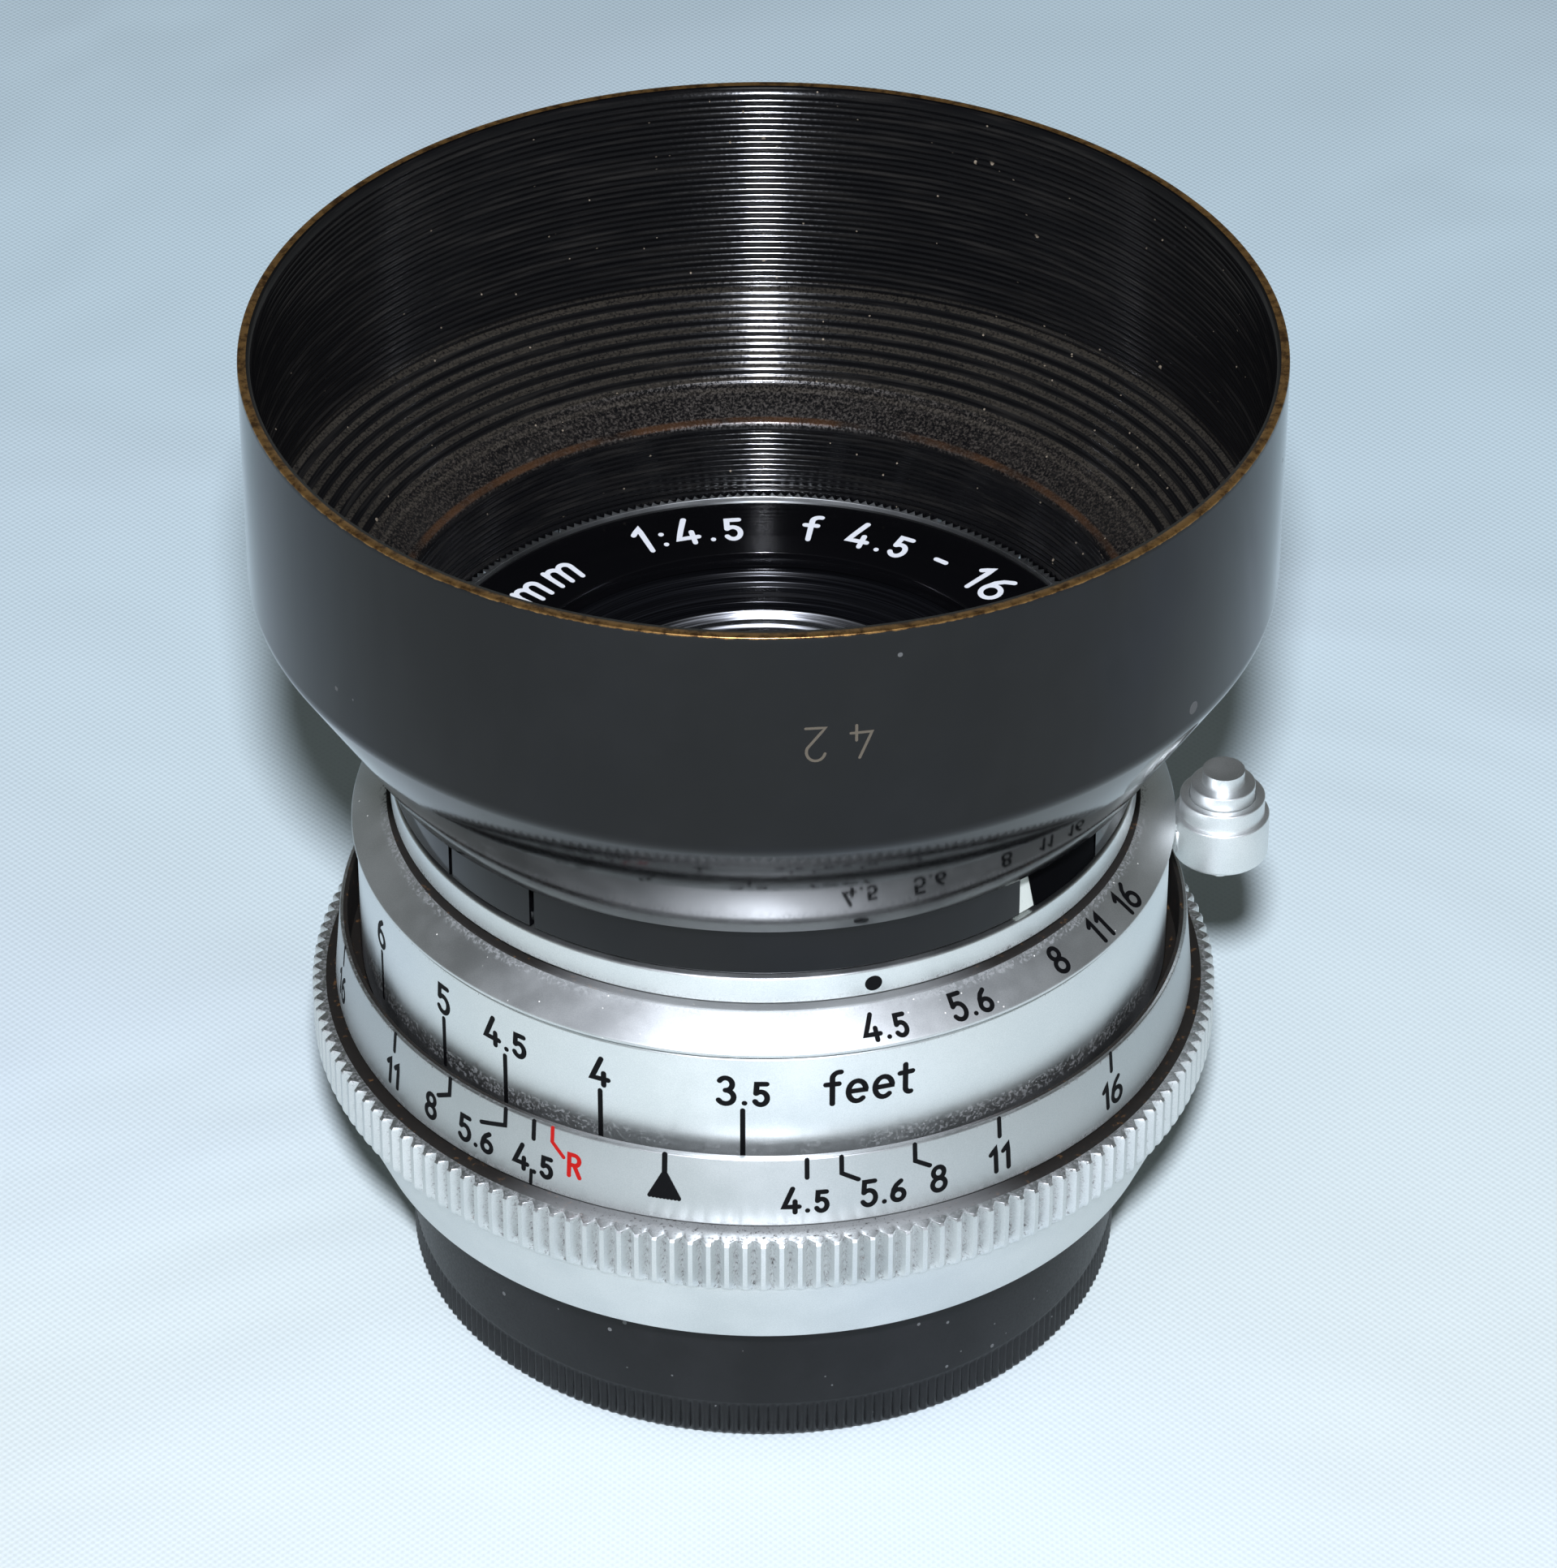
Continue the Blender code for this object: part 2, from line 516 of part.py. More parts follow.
def build_blade(number, finish, blade, place, azimuth):
    """A thin crescent round the optical axis, made about its own pivot near one end."""
    steps, overhang = 10, 8.0
    foot = BLADE_FOOT + BLADE_SPACING * number
    bm = bmesh.new()
    azimuths = [azimuth - overhang + BLADE_ARC * step / steps for step in range(steps + 1)]
    outer = [at(turn, BLADE_OUTER, foot) for turn in azimuths]
    inner = [at(turn, BLADE_INNER, foot) for turn in azimuths]
    verts = [bm.verts.new(point - place) for point in outer + inner[::-1]]
    face = bm.faces.new(verts)
    grown = bmesh.ops.extrude_face_region(bm, geom=[face])
    lifted = [item for item in grown["geom"] if isinstance(item, bmesh.types.BMVert)]
    bmesh.ops.translate(bm, verts=lifted, vec=(0, 0, BLADE_THICKNESS * MM))
    finish_mesh(bm, f"iris_blade_{number + 1}", finish["steel"], blade, place)


def build_hood(finish, hood):
    """A thin flared shell; slits in its collar leave four springy tongues that grip the front ring."""
    bore = HOOD_RADIUS - HOOD_WALL
    collar_bore, collar_foot = FRONT_RADIUS + GAP, BAND_TOP + GAP
    flare_radius, neck_top, throat_top, throat_radius, dish_top = 23.3, 43.4, 43.6, 21.6, 45.0
    outline = [(HOOD_RADIUS, HOOD_TOP), (HOOD_RADIUS, FLARE_TOP), (flare_radius, LEDGE_TOP),
               (COLLAR_RADIUS, LEDGE_TOP), (COLLAR_RADIUS, collar_foot), (collar_bore, collar_foot),
               (collar_bore, neck_top), (throat_radius, throat_top), (flare_radius + 0.2, dish_top),
               (bore, FLARE_TOP + 0.1), (bore, HOOD_TOP)]
    shell = turned("hood_shell", outline, finish["black_enamel"], hood)

    slit_half, slit_top, margin = 0.175, LEDGE_TOP - 0.4, 0.6
    for number, middle in enumerate(TONGUE_AZIMUTHS, start=1):
        for side, sign in (("a", -1), ("b", 1)):
            slit = box_bmesh((collar_bore - margin, COLLAR_RADIUS + margin), (-slit_half, slit_half),
                             (collar_foot - 1, slit_top))
            cut(shell, f"slit_{number}{side}", slit, hood, azimuth=middle + sign * TONGUE_HALF)


def main():
    clear_scene()
    finish = materials()
    build_cap(finish)
    mount = axis_empty("mount_axis")
    build_mount(finish, mount)
    build_cam_sleeve(finish, axis_empty("sleeve_axis"))
    head = axis_empty("head_axis")
    build_head(finish, head)
    build_lock(finish, axis_empty("lock_axis", at(KNOB_AZIMUTH, KNOB_REACH)))
    build_aperture(finish, axis_empty("aperture_axis"))
    for number in range(BLADE_COUNT):
        azimuth = number * 360 / BLADE_COUNT
        place = at(azimuth, BLADE_PIVOT_RADIUS)
        build_blade(number, finish, axis_empty(f"blade_axis_{number + 1}", place), place, azimuth)
    build_hood(finish, axis_empty("hood_axis"))


main()
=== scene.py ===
"""The looks of a chrome screw-mount camera lens with its black hood and rear cap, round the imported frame.

Sizes are in millimetres and azimuths in degrees: 0 is the -Y side, which faces the camera, and they grow
toward +X. A profile is a list of (radius, height) points that a lathe turns round the optical axis.
"""

import math

import bmesh
import bpy
import numpy as np
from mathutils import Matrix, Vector


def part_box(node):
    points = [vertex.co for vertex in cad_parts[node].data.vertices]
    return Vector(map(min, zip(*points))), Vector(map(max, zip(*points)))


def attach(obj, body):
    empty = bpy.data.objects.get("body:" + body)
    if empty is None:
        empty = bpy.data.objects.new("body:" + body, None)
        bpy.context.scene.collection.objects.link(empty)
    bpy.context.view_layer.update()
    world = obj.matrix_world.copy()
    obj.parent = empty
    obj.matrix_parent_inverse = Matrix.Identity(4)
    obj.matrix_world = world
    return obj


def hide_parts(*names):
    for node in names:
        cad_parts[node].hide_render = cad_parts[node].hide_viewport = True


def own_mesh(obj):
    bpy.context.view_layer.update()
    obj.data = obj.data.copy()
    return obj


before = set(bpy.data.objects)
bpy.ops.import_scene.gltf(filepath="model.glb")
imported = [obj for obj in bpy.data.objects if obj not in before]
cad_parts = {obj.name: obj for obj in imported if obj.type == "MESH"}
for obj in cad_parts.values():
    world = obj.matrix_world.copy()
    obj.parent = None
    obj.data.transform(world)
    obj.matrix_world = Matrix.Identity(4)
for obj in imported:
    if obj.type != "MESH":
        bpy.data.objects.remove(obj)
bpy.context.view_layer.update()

MM = 0.001
FINE = 384                      # steps round a turned piece that can be seen


def cad_box(node):
    """Lowest and highest corner of a CAD node, in millimetres."""
    low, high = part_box(node)
    return np.array(low) / MM, np.array(high) / MM


def outer_radius(node):
    low, high = cad_box(node)
    return (high[1] - low[1]) / 2


HOOD_TOP = cad_box("hood_shell")[1][2]
HOOD_FOOT = cad_box("hood_shell")[0][2]
HOOD_RADIUS = outer_radius("hood_shell")
NAME_TOP = cad_box("name_ring")[1][2]
BAND_RADIUS = outer_radius("aperture_ring")
BAND_FOOT, RIM_TOP = cad_box("aperture_ring")[0][2], cad_box("aperture_ring")[1][2]
BEVEL_FOOT, BEVEL_TOP = cad_box("aperture_scale_ring")[0][2], cad_box("aperture_scale_ring")[1][2]
BEVEL_RADIUS = outer_radius("aperture_scale_ring")
FOCUS_FOOT, FOCUS_TOP = cad_box("focus_ring")[0][2], cad_box("focus_ring")[1][2]
FOCUS_RADIUS = outer_radius("focus_ring")
SCALE_FOOT, SCALE_TOP = cad_box("dof_scale_ring")[0][2], cad_box("dof_scale_ring")[1][2]
SCALE_RADIUS = outer_radius("dof_scale_ring")
MOUNT_FOOT, MOUNT_TOP = cad_box("mount_ring")[0][2], cad_box("mount_ring")[1][2]
KNURL_RADIUS = outer_radius("mount_ring")
CAP_TOP, CAP_RADIUS = cad_box("rear_cap")[1][2], outer_radius("rear_cap")
KNOB_LOW, KNOB_HIGH = cad_box("lock_button")
KNOB_REACH = (KNOB_LOW[0] + KNOB_HIGH[0]) / 2 - 0.3  # the turned foot stands close against the focus ring

BAND_TOP = BAND_FOOT + 1.7      # the chrome band under the hood's collar
SEAT_TOP = RIM_TOP - 0.6        # the seat that the hood grips
NAME_DISH = 0.4                 # how much lower the name ring is at its inner edge
BEVEL_INNER = 22.0
CONE_FOOT, CONE_RISE, CONE_RIDGES = 45.0, 3.6, 15   # the ridged cone inside the hood
SCALE_TOP_RADIUS = 25.05

INDEX_AZIMUTH = -12.8           # the focus index on the depth-of-field ring
DOT_AZIMUTH = 16.4              # the dot on the aperture ring, wide open
DEGREES_PER_STOP_NUMBER = 4.09  # from the index to a depth-of-field mark, for each unit of f-number
FOCAL_LENGTH = 35.0
HELICOID_PITCH = 2.95
FOOT = 304.8
FAR = 1e6                       # feet, for the infinity mark


# ---------------------------------------------------------------- mesh making

def put(name, data):
    """A new object in the scene."""
    made = bpy.data.objects.new(name, data)
    bpy.context.scene.collection.objects.link(made)
    return made


def add_mesh(name, verts, faces, smooth_angle=35.0):
    """A mesh object from arrays in millimetres."""
    mesh = bpy.data.meshes.new(name)
    mesh.from_pydata((np.asarray(verts, float) * MM).tolist(), [], [list(face) for face in faces])
    mesh.update()
    bm = bmesh.new()
    bm.from_mesh(mesh)
    bmesh.ops.recalc_face_normals(bm, faces=bm.faces)
    bm.to_mesh(mesh)
    bm.free()
    mesh.shade_smooth()
    mesh.set_sharp_from_angle(angle=math.radians(smooth_angle))
    return put(name, mesh)


def place_piece(piece, body, material, replaces=()):
    piece.data.materials.append(material)
    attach(piece, body)
    if replaces:
        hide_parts(*replaces)
    return piece


def rounded(outline, closed=True, steps=3):
    """Round the corners of an outline. A point is (radius, height) or (radius, height, fillet)."""
    made = []
    count = len(outline)
    for number, point in enumerate(outline):
        here = np.array(point[:2], float)
        fillet = point[2] if len(point) > 2 else 0.0
        at_end = not closed and number in (0, count - 1)
        if fillet <= 0 or at_end:
            made.append(tuple(here))
            continue
        before = np.array(outline[number - 1][:2], float) - here
        after = np.array(outline[(number + 1) % count][:2], float) - here
        reach = min(fillet, np.linalg.norm(before) * 0.45, np.linalg.norm(after) * 0.45)
        start = here + before / np.linalg.norm(before) * reach
        end = here + after / np.linalg.norm(after) * reach
        for step in range(steps + 1):
            part = step / steps
            made.append(tuple((1 - part) ** 2 * start + 2 * part * (1 - part) * here + part ** 2 * end))
    return made


def lathe_arrays(outline, steps, closed=True, bump=None):
    """Turn an outline round Z. bump(radius, height, azimuths) gives a change of radius at each azimuth."""
    azimuths = np.arange(steps) * math.tau / steps
    verts = []
    starts = []
    for radius, height in outline:
        starts.append(len(verts))
        if radius < 1e-6:
            verts.append((0.0, 0.0, height))
            continue
        reach = radius + (bump(radius, height, azimuths) if bump else 0.0) * np.ones(steps)
        verts.extend(zip(reach * np.sin(azimuths), -reach * np.cos(azimuths), np.full(steps, height)))
    faces = []
    last = len(outline) if closed else len(outline) - 1
    for row in range(last):
        following = (row + 1) % len(outline)
        low_point, high_point = outline[row][0] < 1e-6, outline[following][0] < 1e-6
        low, high = starts[row], starts[following]
        for step in range(steps):
            ahead = (step + 1) % steps
            if low_point and high_point:
                continue
            if low_point:
                faces.append((low, high + ahead, high + step))
            elif high_point:
                faces.append((low + step, low + ahead, high))
            else:
                faces.append((low + step, low + ahead, high + ahead, high + step))
    return verts, faces


def lathe(name, outline, steps=FINE, closed=True, bump=None, smooth_angle=35.0):
    closed = closed and outline[0][0] > 1e-6
    return add_mesh(name, *lathe_arrays(outline, steps, closed, bump), smooth_angle)


def swept_faces(steps, count):
    """The faces of a closed outline of count points swept through a number of steps, with flat ends."""
    faces = []
    for low in range(0, steps * count, count):
        for number in range(count):
            ahead = (number + 1) % count
            faces.append((low + number, low + ahead, low + count + ahead, low + count + number))
    return faces + [tuple(range(count)), tuple(range(steps * count, (steps + 1) * count))]


def arc_block(outline, start, end, steps):
    """The arrays of an outline swept between two azimuths."""
    verts = []
    for azimuth in np.radians(np.linspace(start, end, steps + 1)):
        verts.extend((radius * math.sin(azimuth), -radius * math.cos(azimuth), height)
                     for radius, height in outline)
    return verts, swept_faces(steps, len(outline))


def gather(parts):
    """Join (verts, faces) pairs into one pair."""
    verts, faces = [], []
    for part_verts, part_faces in parts:
        start = len(verts)
        verts.extend(part_verts)
        faces.extend(tuple(index + start for index in face) for face in part_faces)
    return verts, faces


# ---------------------------------------------------------------- engraved figures

def arc(x, y, wide, high, start, end):
    """Points on an ellipse, from a start angle to an end angle."""
    count = max(4, int(abs(end - start) / 15))
    angles = np.radians(np.linspace(start, end, count + 1))
    return [(x + wide * math.cos(angle), y + high * math.sin(angle)) for angle in angles]


def rotated(strokes, width):
    """The glyph turned upside down, in its own cell."""
    return [[(width - x, 1 - y) for x, y in stroke] for stroke in strokes]


SIX = [arc(0.29, 0.29, 0.26, 0.27, 0, 360), [(0.04, 0.35), (0.1, 0.62), (0.22, 0.82), (0.42, 0.98)]]
GLYPHS = {
    "0": (0.58, [arc(0.29, 0.5, 0.25, 0.48, 0, 360)]),
    "1": (0.34, [[(0.04, 0.76), (0.24, 0.98), (0.24, 0.02)]]),
    "2": (0.56, [arc(0.28, 0.71, 0.23, 0.27, 165, -25) + [(0.05, 0.02), (0.53, 0.02)]]),
    "3": (0.54, [arc(0.25, 0.75, 0.2, 0.23, 150, -90), arc(0.25, 0.27, 0.24, 0.25, 90, -150)]),
    "4": (0.56, [[(0.32, 0.98), (0.02, 0.24), (0.54, 0.24)], [(0.4, 0.46), (0.4, 0.02)]]),
    "5": (0.54, [[(0.48, 0.98), (0.12, 0.98), (0.09, 0.54)], arc(0.26, 0.32, 0.24, 0.3, 132, -150)]),
    "6": (0.58, SIX),
    "7": (0.5, [[(0.04, 0.98), (0.48, 0.98), (0.18, 0.02)]]),
    "8": (0.56, [arc(0.28, 0.76, 0.2, 0.22, 0, 360), arc(0.28, 0.27, 0.24, 0.25, 0, 360)]),
    "9": (0.58, rotated(SIX, 0.58)),
    ".": (0.2, [[(0.1, 0.06), (0.1, 0.061)]]),
    ":": (0.22, [[(0.1, 0.14), (0.1, 0.141)], [(0.1, 0.56), (0.1, 0.561)]]),
    "-": (0.4, [[(0.04, 0.42), (0.34, 0.42)]]),
    " ": (0.36, []),
    "R": (0.56, [[(0.06, 0.02), (0.06, 0.98), (0.28, 0.98)] + arc(0.28, 0.75, 0.2, 0.23, 80, -80)
                 + [(0.28, 0.52), (0.06, 0.52)], [(0.28, 0.5), (0.5, 0.02)]]),
    "f": (0.4, [arc(0.36, 0.8, 0.18, 0.18, 80, 180) + [(0.18, 0.02)], [(0.02, 0.62), (0.34, 0.62)]]),
    "e": (0.54, [[(0.06, 0.34), (0.48, 0.34)] + arc(0.27, 0.33, 0.22, 0.31, 10, 310)]),
    "t": (0.4, [[(0.16, 0.88), (0.16, 0.18)] + arc(0.28, 0.16, 0.12, 0.14, 190, 280),
                [(0.02, 0.64), (0.34, 0.64)]]),
    "m": (0.86, [[(0.06, 0.02), (0.06, 0.66)], arc(0.24, 0.46, 0.17, 0.18, 180, 0) + [(0.41, 0.02)],
                 arc(0.59, 0.46, 0.17, 0.18, 180, 0) + [(0.76, 0.02)]]),
}


def close_points(points, reach=0.45):
    """The same path with points near enough to follow a curved surface."""
    path = [np.array(points[0], float)]
    for point in points[1:]:
        here = path[-1]
        there = np.array(point, float)
        count = math.ceil(np.linalg.norm(there - here) / reach)
        path.extend(here + (there - here) * step / count for step in range(1, count + 1))
    return np.array(path)


def ribbon(points, width):
    """The outline of a round-ended pen stroke: a list of left and right edge points, and its end caps."""
    path = close_points(points)
    ahead = np.diff(path, axis=0)
    ahead /= np.linalg.norm(ahead, axis=1)[:, None]
    looped = len(path) > 3 and np.linalg.norm(path[0] - path[-1]) < 1e-6
    first = ahead[-1] if looped else ahead[0]
    last = ahead[0] if looped else ahead[-1]
    before = np.vstack([first, ahead])
    after = np.vstack([ahead, last])
    middle = before + after
    middle /= np.maximum(np.linalg.norm(middle, axis=1), 1e-6)[:, None]
    stretch = 1 / np.clip((middle * after).sum(1), 0.6, 1)
    side = np.stack([-middle[:, 1], middle[:, 0]], 1) * (width / 2 * stretch)[:, None]
    left, right = list(path + side), list(path - side)
    if looped:
        return left, right, [], []
    heading = math.atan2(ahead[-1][1], ahead[-1][0])
    tail = math.atan2(ahead[0][1], ahead[0][0])
    turns = np.linspace(-math.pi / 2, math.pi / 2, 7)[1:-1]

    def half_round(point, angles, reach):
        return [point + reach * np.array((math.cos(angle), math.sin(angle))) for angle in angles]

    end_cap = half_round(path[-1], heading + turns, width / 2)
    start_cap = half_round(path[0], tail - turns, -width / 2)
    return left, right, end_cap, start_cap


def stroke_arrays(points, width, lift, sink, surface):
    """A thin closed solid along a stroke. surface(x, y, depth) lays a flat point on the piece."""
    left, right, end_cap, start_cap = ribbon(points, width)
    count = len(left)
    flat = left + right + end_cap + start_cap
    verts = [surface(x, y, lift) for x, y in flat] + [surface(x, y, -sink) for x, y in flat]
    under = len(flat)
    faces = []
    for i in range(count - 1):
        top = (i, i + 1, count + i + 1, count + i)
        faces.append(top)
        faces.append(tuple(under + index for index in reversed(top)))
        faces.append((i + 1, i, under + i, under + i + 1))
        faces.append((count + i, count + i + 1, under + count + i + 1, under + count + i))
    ends = len(end_cap)
    if ends:
        end_ring = [2 * count - 1] + list(range(2 * count, 2 * count + ends)) + [count - 1]
        start_ring = [count] + list(range(2 * count + ends, 2 * count + 2 * ends)) + [0]
        for ring in (end_ring, start_ring):
            faces.append(tuple(ring))
            faces.append(tuple(under + index for index in reversed(ring)))
            for low, high in zip(ring, ring[1:]):
                faces.append((low, high, under + high, under + low))
    return verts, faces


def letter_sizes(text):
    """Each letter with its share of the full height: the digit after a decimal point is cut smaller."""
    return [(letter, 0.8 if before == "." else 1.0) for before, letter in zip(" " + text, text)]


def text_width(text, spacing):
    return sum(GLYPHS[letter][0] * size for letter, size in letter_sizes(text)) + spacing * (len(text) - 1)


def text_arrays(text, height, pen, surface, spacing=0.2, lift=0.012, sink=0.03):
    """Every stroke of a word, centred on the surface's own origin."""
    parts = []
    cursor = -text_width(text, spacing) / 2
    for letter, size in letter_sizes(text):
        width, strokes = GLYPHS[letter]
        for layer, stroke in enumerate(strokes):
            placed = [((cursor + x * size) * height, (y * size - 0.5) * height) for x, y in stroke]
            parts.append(stroke_arrays(placed, pen, lift + 0.003 * layer, sink, surface))
        cursor += width * size + spacing
    return parts


def turned_surface(low, high, azimuth, share=0.5, reading=1):
    """Lays flat text on a turned surface between two (radius, height) points, a share of the way along.

    reading is 1 for text read from outside, and -1 for text on a front ring, its tops pointing outward.
    """
    low, high = np.array(low, float), np.array(high, float)
    along = (high - low) / np.linalg.norm(high - low)
    normal = np.array((along[1], -along[0])) * reading
    middle = low + (high - low) * share

    def surface(x, y, lift):
        radius, height = middle + along * y + normal * lift
        turn = math.radians(azimuth) + reading * x / middle[0]
        return (radius * math.sin(turn), -radius * math.cos(turn), height)
    return surface


# ---------------------------------------------------------------- materials

def opaque(value):
    """A colour with its alpha; anything else as it is."""
    return (*value, 1.0) if isinstance(value, tuple) else value


class Nodes:
    """A short way to write a material's nodes."""

    def __init__(self, name):
        self.material = bpy.data.materials.new(name)
        self.material.use_nodes = True
        self.tree = self.material.node_tree
        self.shader = self.tree.nodes["Principled BSDF"]
        self.place = self.add("ShaderNodeTexCoord").outputs["Object"]
        apart = self.add("ShaderNodeSeparateXYZ")
        self.link(self.place, apart.inputs[0])
        self.x, self.y, self.z = apart.outputs

    def add(self, kind, **settings):
        node = self.tree.nodes.new(kind)
        for key, value in settings.items():
            setattr(node, key, value)
        return node

    def link(self, source, target):
        if isinstance(source, bpy.types.NodeSocket):
            self.tree.links.new(source, target)
        else:
            target.default_value = source

    def feed(self, node, **values):
        """Link or set a node's inputs, named with _ for a space."""
        for key, value in values.items():
            self.link(value, node.inputs[key.replace("_", " ")])

    def math(self, operation, first, second=0.0):
        node = self.add("ShaderNodeMath", operation=operation)
        for socket, value in zip(node.inputs, (first, second)):
            self.link(value, socket)
        return node.outputs[0]

    def times(self, first, second):
        return self.math("MULTIPLY", first, second)

    def radius(self):
        return self.math("SQRT", self.math("ADD", self.times(self.x, self.x), self.times(self.y, self.y)))

    def azimuth(self):
        """Radians, 0 on the -Y side and growing toward +X."""
        return self.math("ARCTAN2", self.x, self.times(self.y, -1.0))

    def round_place(self, around, across):
        """Texture places that run round the axis, so that a noise is drawn out along the turning marks."""
        places = (self.times(self.azimuth(), around), self.times(self.radius(), across / MM),
                  self.times(self.z, across / MM))
        node = self.add("ShaderNodeCombineXYZ")
        for place, socket in zip(places, node.inputs):
            self.link(place, socket)
        return node.outputs[0]

    def noise(self, size_mm, detail, roughness, place=None, distortion=0.0):
        node = self.add("ShaderNodeTexNoise")
        self.feed(node, Vector=self.place if place is None else place, Scale=1 / (size_mm * MM),
                  Detail=detail, Roughness=roughness, Distortion=distortion)
        return node.outputs["Fac"]

    def turning_marks(self, around, across, detail, roughness):
        """A noise drawn out round the axis. Its places are scaled already, so its own scale is 1."""
        return self.noise(1 / MM, detail, roughness, self.round_place(around, across))

    def mask(self, value, low, high):
        """0 at low, 1 at high, and smooth between."""
        node = self.add("ShaderNodeMapRange", interpolation_type="SMOOTHSTEP")
        self.feed(node, Value=value, From_Min=low, From_Max=high)
        return node.outputs["Result"]

    def band(self, value, middle, half, soft):
        """1 within half of the middle value, fading out over soft."""
        away = self.math("ABSOLUTE", self.math("SUBTRACT", value, middle))
        return self.mask(away, half + soft, half)

    def mix(self, share, first, second):
        node = self.add("ShaderNodeMix", data_type="RGBA")
        self.link(share, node.inputs[0])
        for socket, value in ((node.inputs[6], first), (node.inputs[7], second)):
            self.link(opaque(value), socket)
        return node.outputs[2]

    def blend(self, share, first, second):
        """A plain number between two numbers."""
        node = self.add("ShaderNodeMix", data_type="FLOAT")
        for socket, value in zip((node.inputs[0], node.inputs[2], node.inputs[3]), (share, first, second)):
            self.link(value, socket)
        return node.outputs[0]

    def specks(self, size_mm, share):
        """Small irregular flecks: 1 on a fleck, in a share of cells that are size_mm across."""
        node = self.add("ShaderNodeTexVoronoi", feature="F1")
        self.feed(node, Vector=self.place, Scale=1 / (size_mm * MM))
        near = self.math("LESS_THAN", node.outputs["Distance"], 0.16)
        apart = self.add("ShaderNodeSeparateColor")
        self.link(node.outputs["Color"], apart.inputs[0])
        rare = self.math("LESS_THAN", apart.outputs[0], share)
        return self.times(near, rare)

    def bump(self, value, distance_mm, strength=1.0, normal=None):
        node = self.add("ShaderNodeBump")
        self.feed(node, Strength=strength, Distance=distance_mm * MM, Height=value)
        if normal is not None:
            self.link(normal, node.inputs["Normal"])
        return node.outputs[0]

    def stretch_highlight(self, share):
        """Turned metal draws a highlight out across its turning marks."""
        tangent = self.add("ShaderNodeTangent", direction_type="RADIAL", axis="Z")
        self.feed(self.shader, Anisotropic=share, Anisotropic_Rotation=0.25, Tangent=tangent.outputs[0])

    def finish(self, **values):
        self.feed(self.shader, **{key: opaque(value) for key, value in values.items()})
        return self.material


def satin_chrome(name, dirt_and_shade_rings=(), inside=None, valleys=None, rough=0.36, tone=1.0, stretch=0.45,
                 marks_depth=0.003, dust=0.0):
    """Satin chrome plate with fine grain and turning marks.

    grime lists (height, half width, share) for dark rings at the joints between parts: dirty flecks with
    painted shade of the gap, fainter toward the front. inside is (radius, foot) of a gap painted dark as
    its shade, with rusty grease, and valleys is (deep radius, shade-free radius, foot, top) for painted
    shade in a knurl's valleys, broken into patches like soiling.
    """
    made = Nodes(name)
    grain = made.noise(0.07, 2.0, 0.7)
    cloud = made.noise(5.0, 4.0, 0.6)
    marks = made.turning_marks(1.2, 9.0, 3.0, 0.6)
    bright = tuple(tone * part for part in (0.86, 0.88, 0.87))
    dull = tuple(tone * part for part in (0.74, 0.765, 0.76))
    color = made.mix(made.mask(made.blend(0.4, grain, cloud), 0.35, 0.65), dull, bright)
    roughness = made.blend(made.mask(cloud, 0.3, 0.7), rough - 0.03, rough + 0.05)
    fleck_noise = made.noise(0.22, 5.0, 0.7)
    patches = made.mask(made.noise(3.0, 3.0, 0.6), 0.35, 0.65)
    away = made.math("ABSOLUTE", made.azimuth())
    # Painted shade: the dark marks at joints and gaps are a fifth as strong at the front, which faces the
    # camera, and full at the sides.
    painted_side_shade = made.blend(made.mask(away, math.radians(8), math.radians(38)), 0.2, 1.0)
    dirt_and_shade = 0.0
    # Dark rings at the joints between parts: dirty flecks, with painted shade of the gap.
    for height, half, share in dirt_and_shade_rings:
        ring = made.band(made.z, height * MM, half * MM, 0.3 * MM)
        flecks = made.mask(fleck_noise, 0.62 - share * 0.3, 0.72 - share * 0.2)
        flecks = made.times(flecks, made.blend(patches, 0.35, 0.95))
        flecks = made.times(flecks, painted_side_shade)
        dirt_and_shade = made.math("MAXIMUM", dirt_and_shade, made.times(ring, flecks))
    # A gap painted dark as its shade, with rusty grease, inside a radius and above a foot.
    if inside:
        within = made.math("LESS_THAN", made.radius(), inside[0] * MM)
        above = made.math("GREATER_THAN", made.z, inside[1] * MM)
        gap_shade_and_grease = made.times(made.times(within, above), painted_side_shade)
        dirt_and_shade = made.math("MAXIMUM", dirt_and_shade, gap_shade_and_grease)
    # Painted shade in the knurl's valleys, strongest at the root and broken into patches like soiling.
    if valleys:
        deep, unshaded_radius, foot, top = valleys
        valley_shade = made.math("SUBTRACT", 1.0, made.mask(made.radius(), deep * MM, unshaded_radius * MM))
        knurl = made.band(made.z, (foot + top) / 2 * MM, (top - foot) / 2 * MM, 0.2 * MM)
        patchy_valley_shade = made.times(valley_shade, made.mask(fleck_noise, 0.48, 0.7))
        dirt_and_shade = made.math("MAXIMUM", dirt_and_shade, made.times(patchy_valley_shade, knurl))
    metal = 1.0
    if dust:
        specks = made.specks(0.3, dust)
        color = made.mix(specks, color, (0.75, 0.74, 0.68))
        metal = made.math("SUBTRACT", 1.0, specks)
    if not isinstance(dirt_and_shade, float):
        # Near black where the marks hold painted shade and grease, rusty brown in patches.
        rust = made.mask(made.noise(0.5, 3.0, 0.6), 0.6, 0.75)
        color = made.mix(dirt_and_shade, color, made.mix(rust, (0.012, 0.010, 0.008), (0.11, 0.055, 0.02)))
        roughness = made.blend(dirt_and_shade, roughness, 0.7)
        metal = made.blend(dirt_and_shade, metal, 0.05)
    normal = made.bump(grain, 0.0012, 0.5)
    normal = made.bump(marks, marks_depth, 0.25, normal)
    made.stretch_highlight(stretch)
    return made.finish(Base_Color=color, Metallic=metal, Roughness=roughness, Normal=normal)


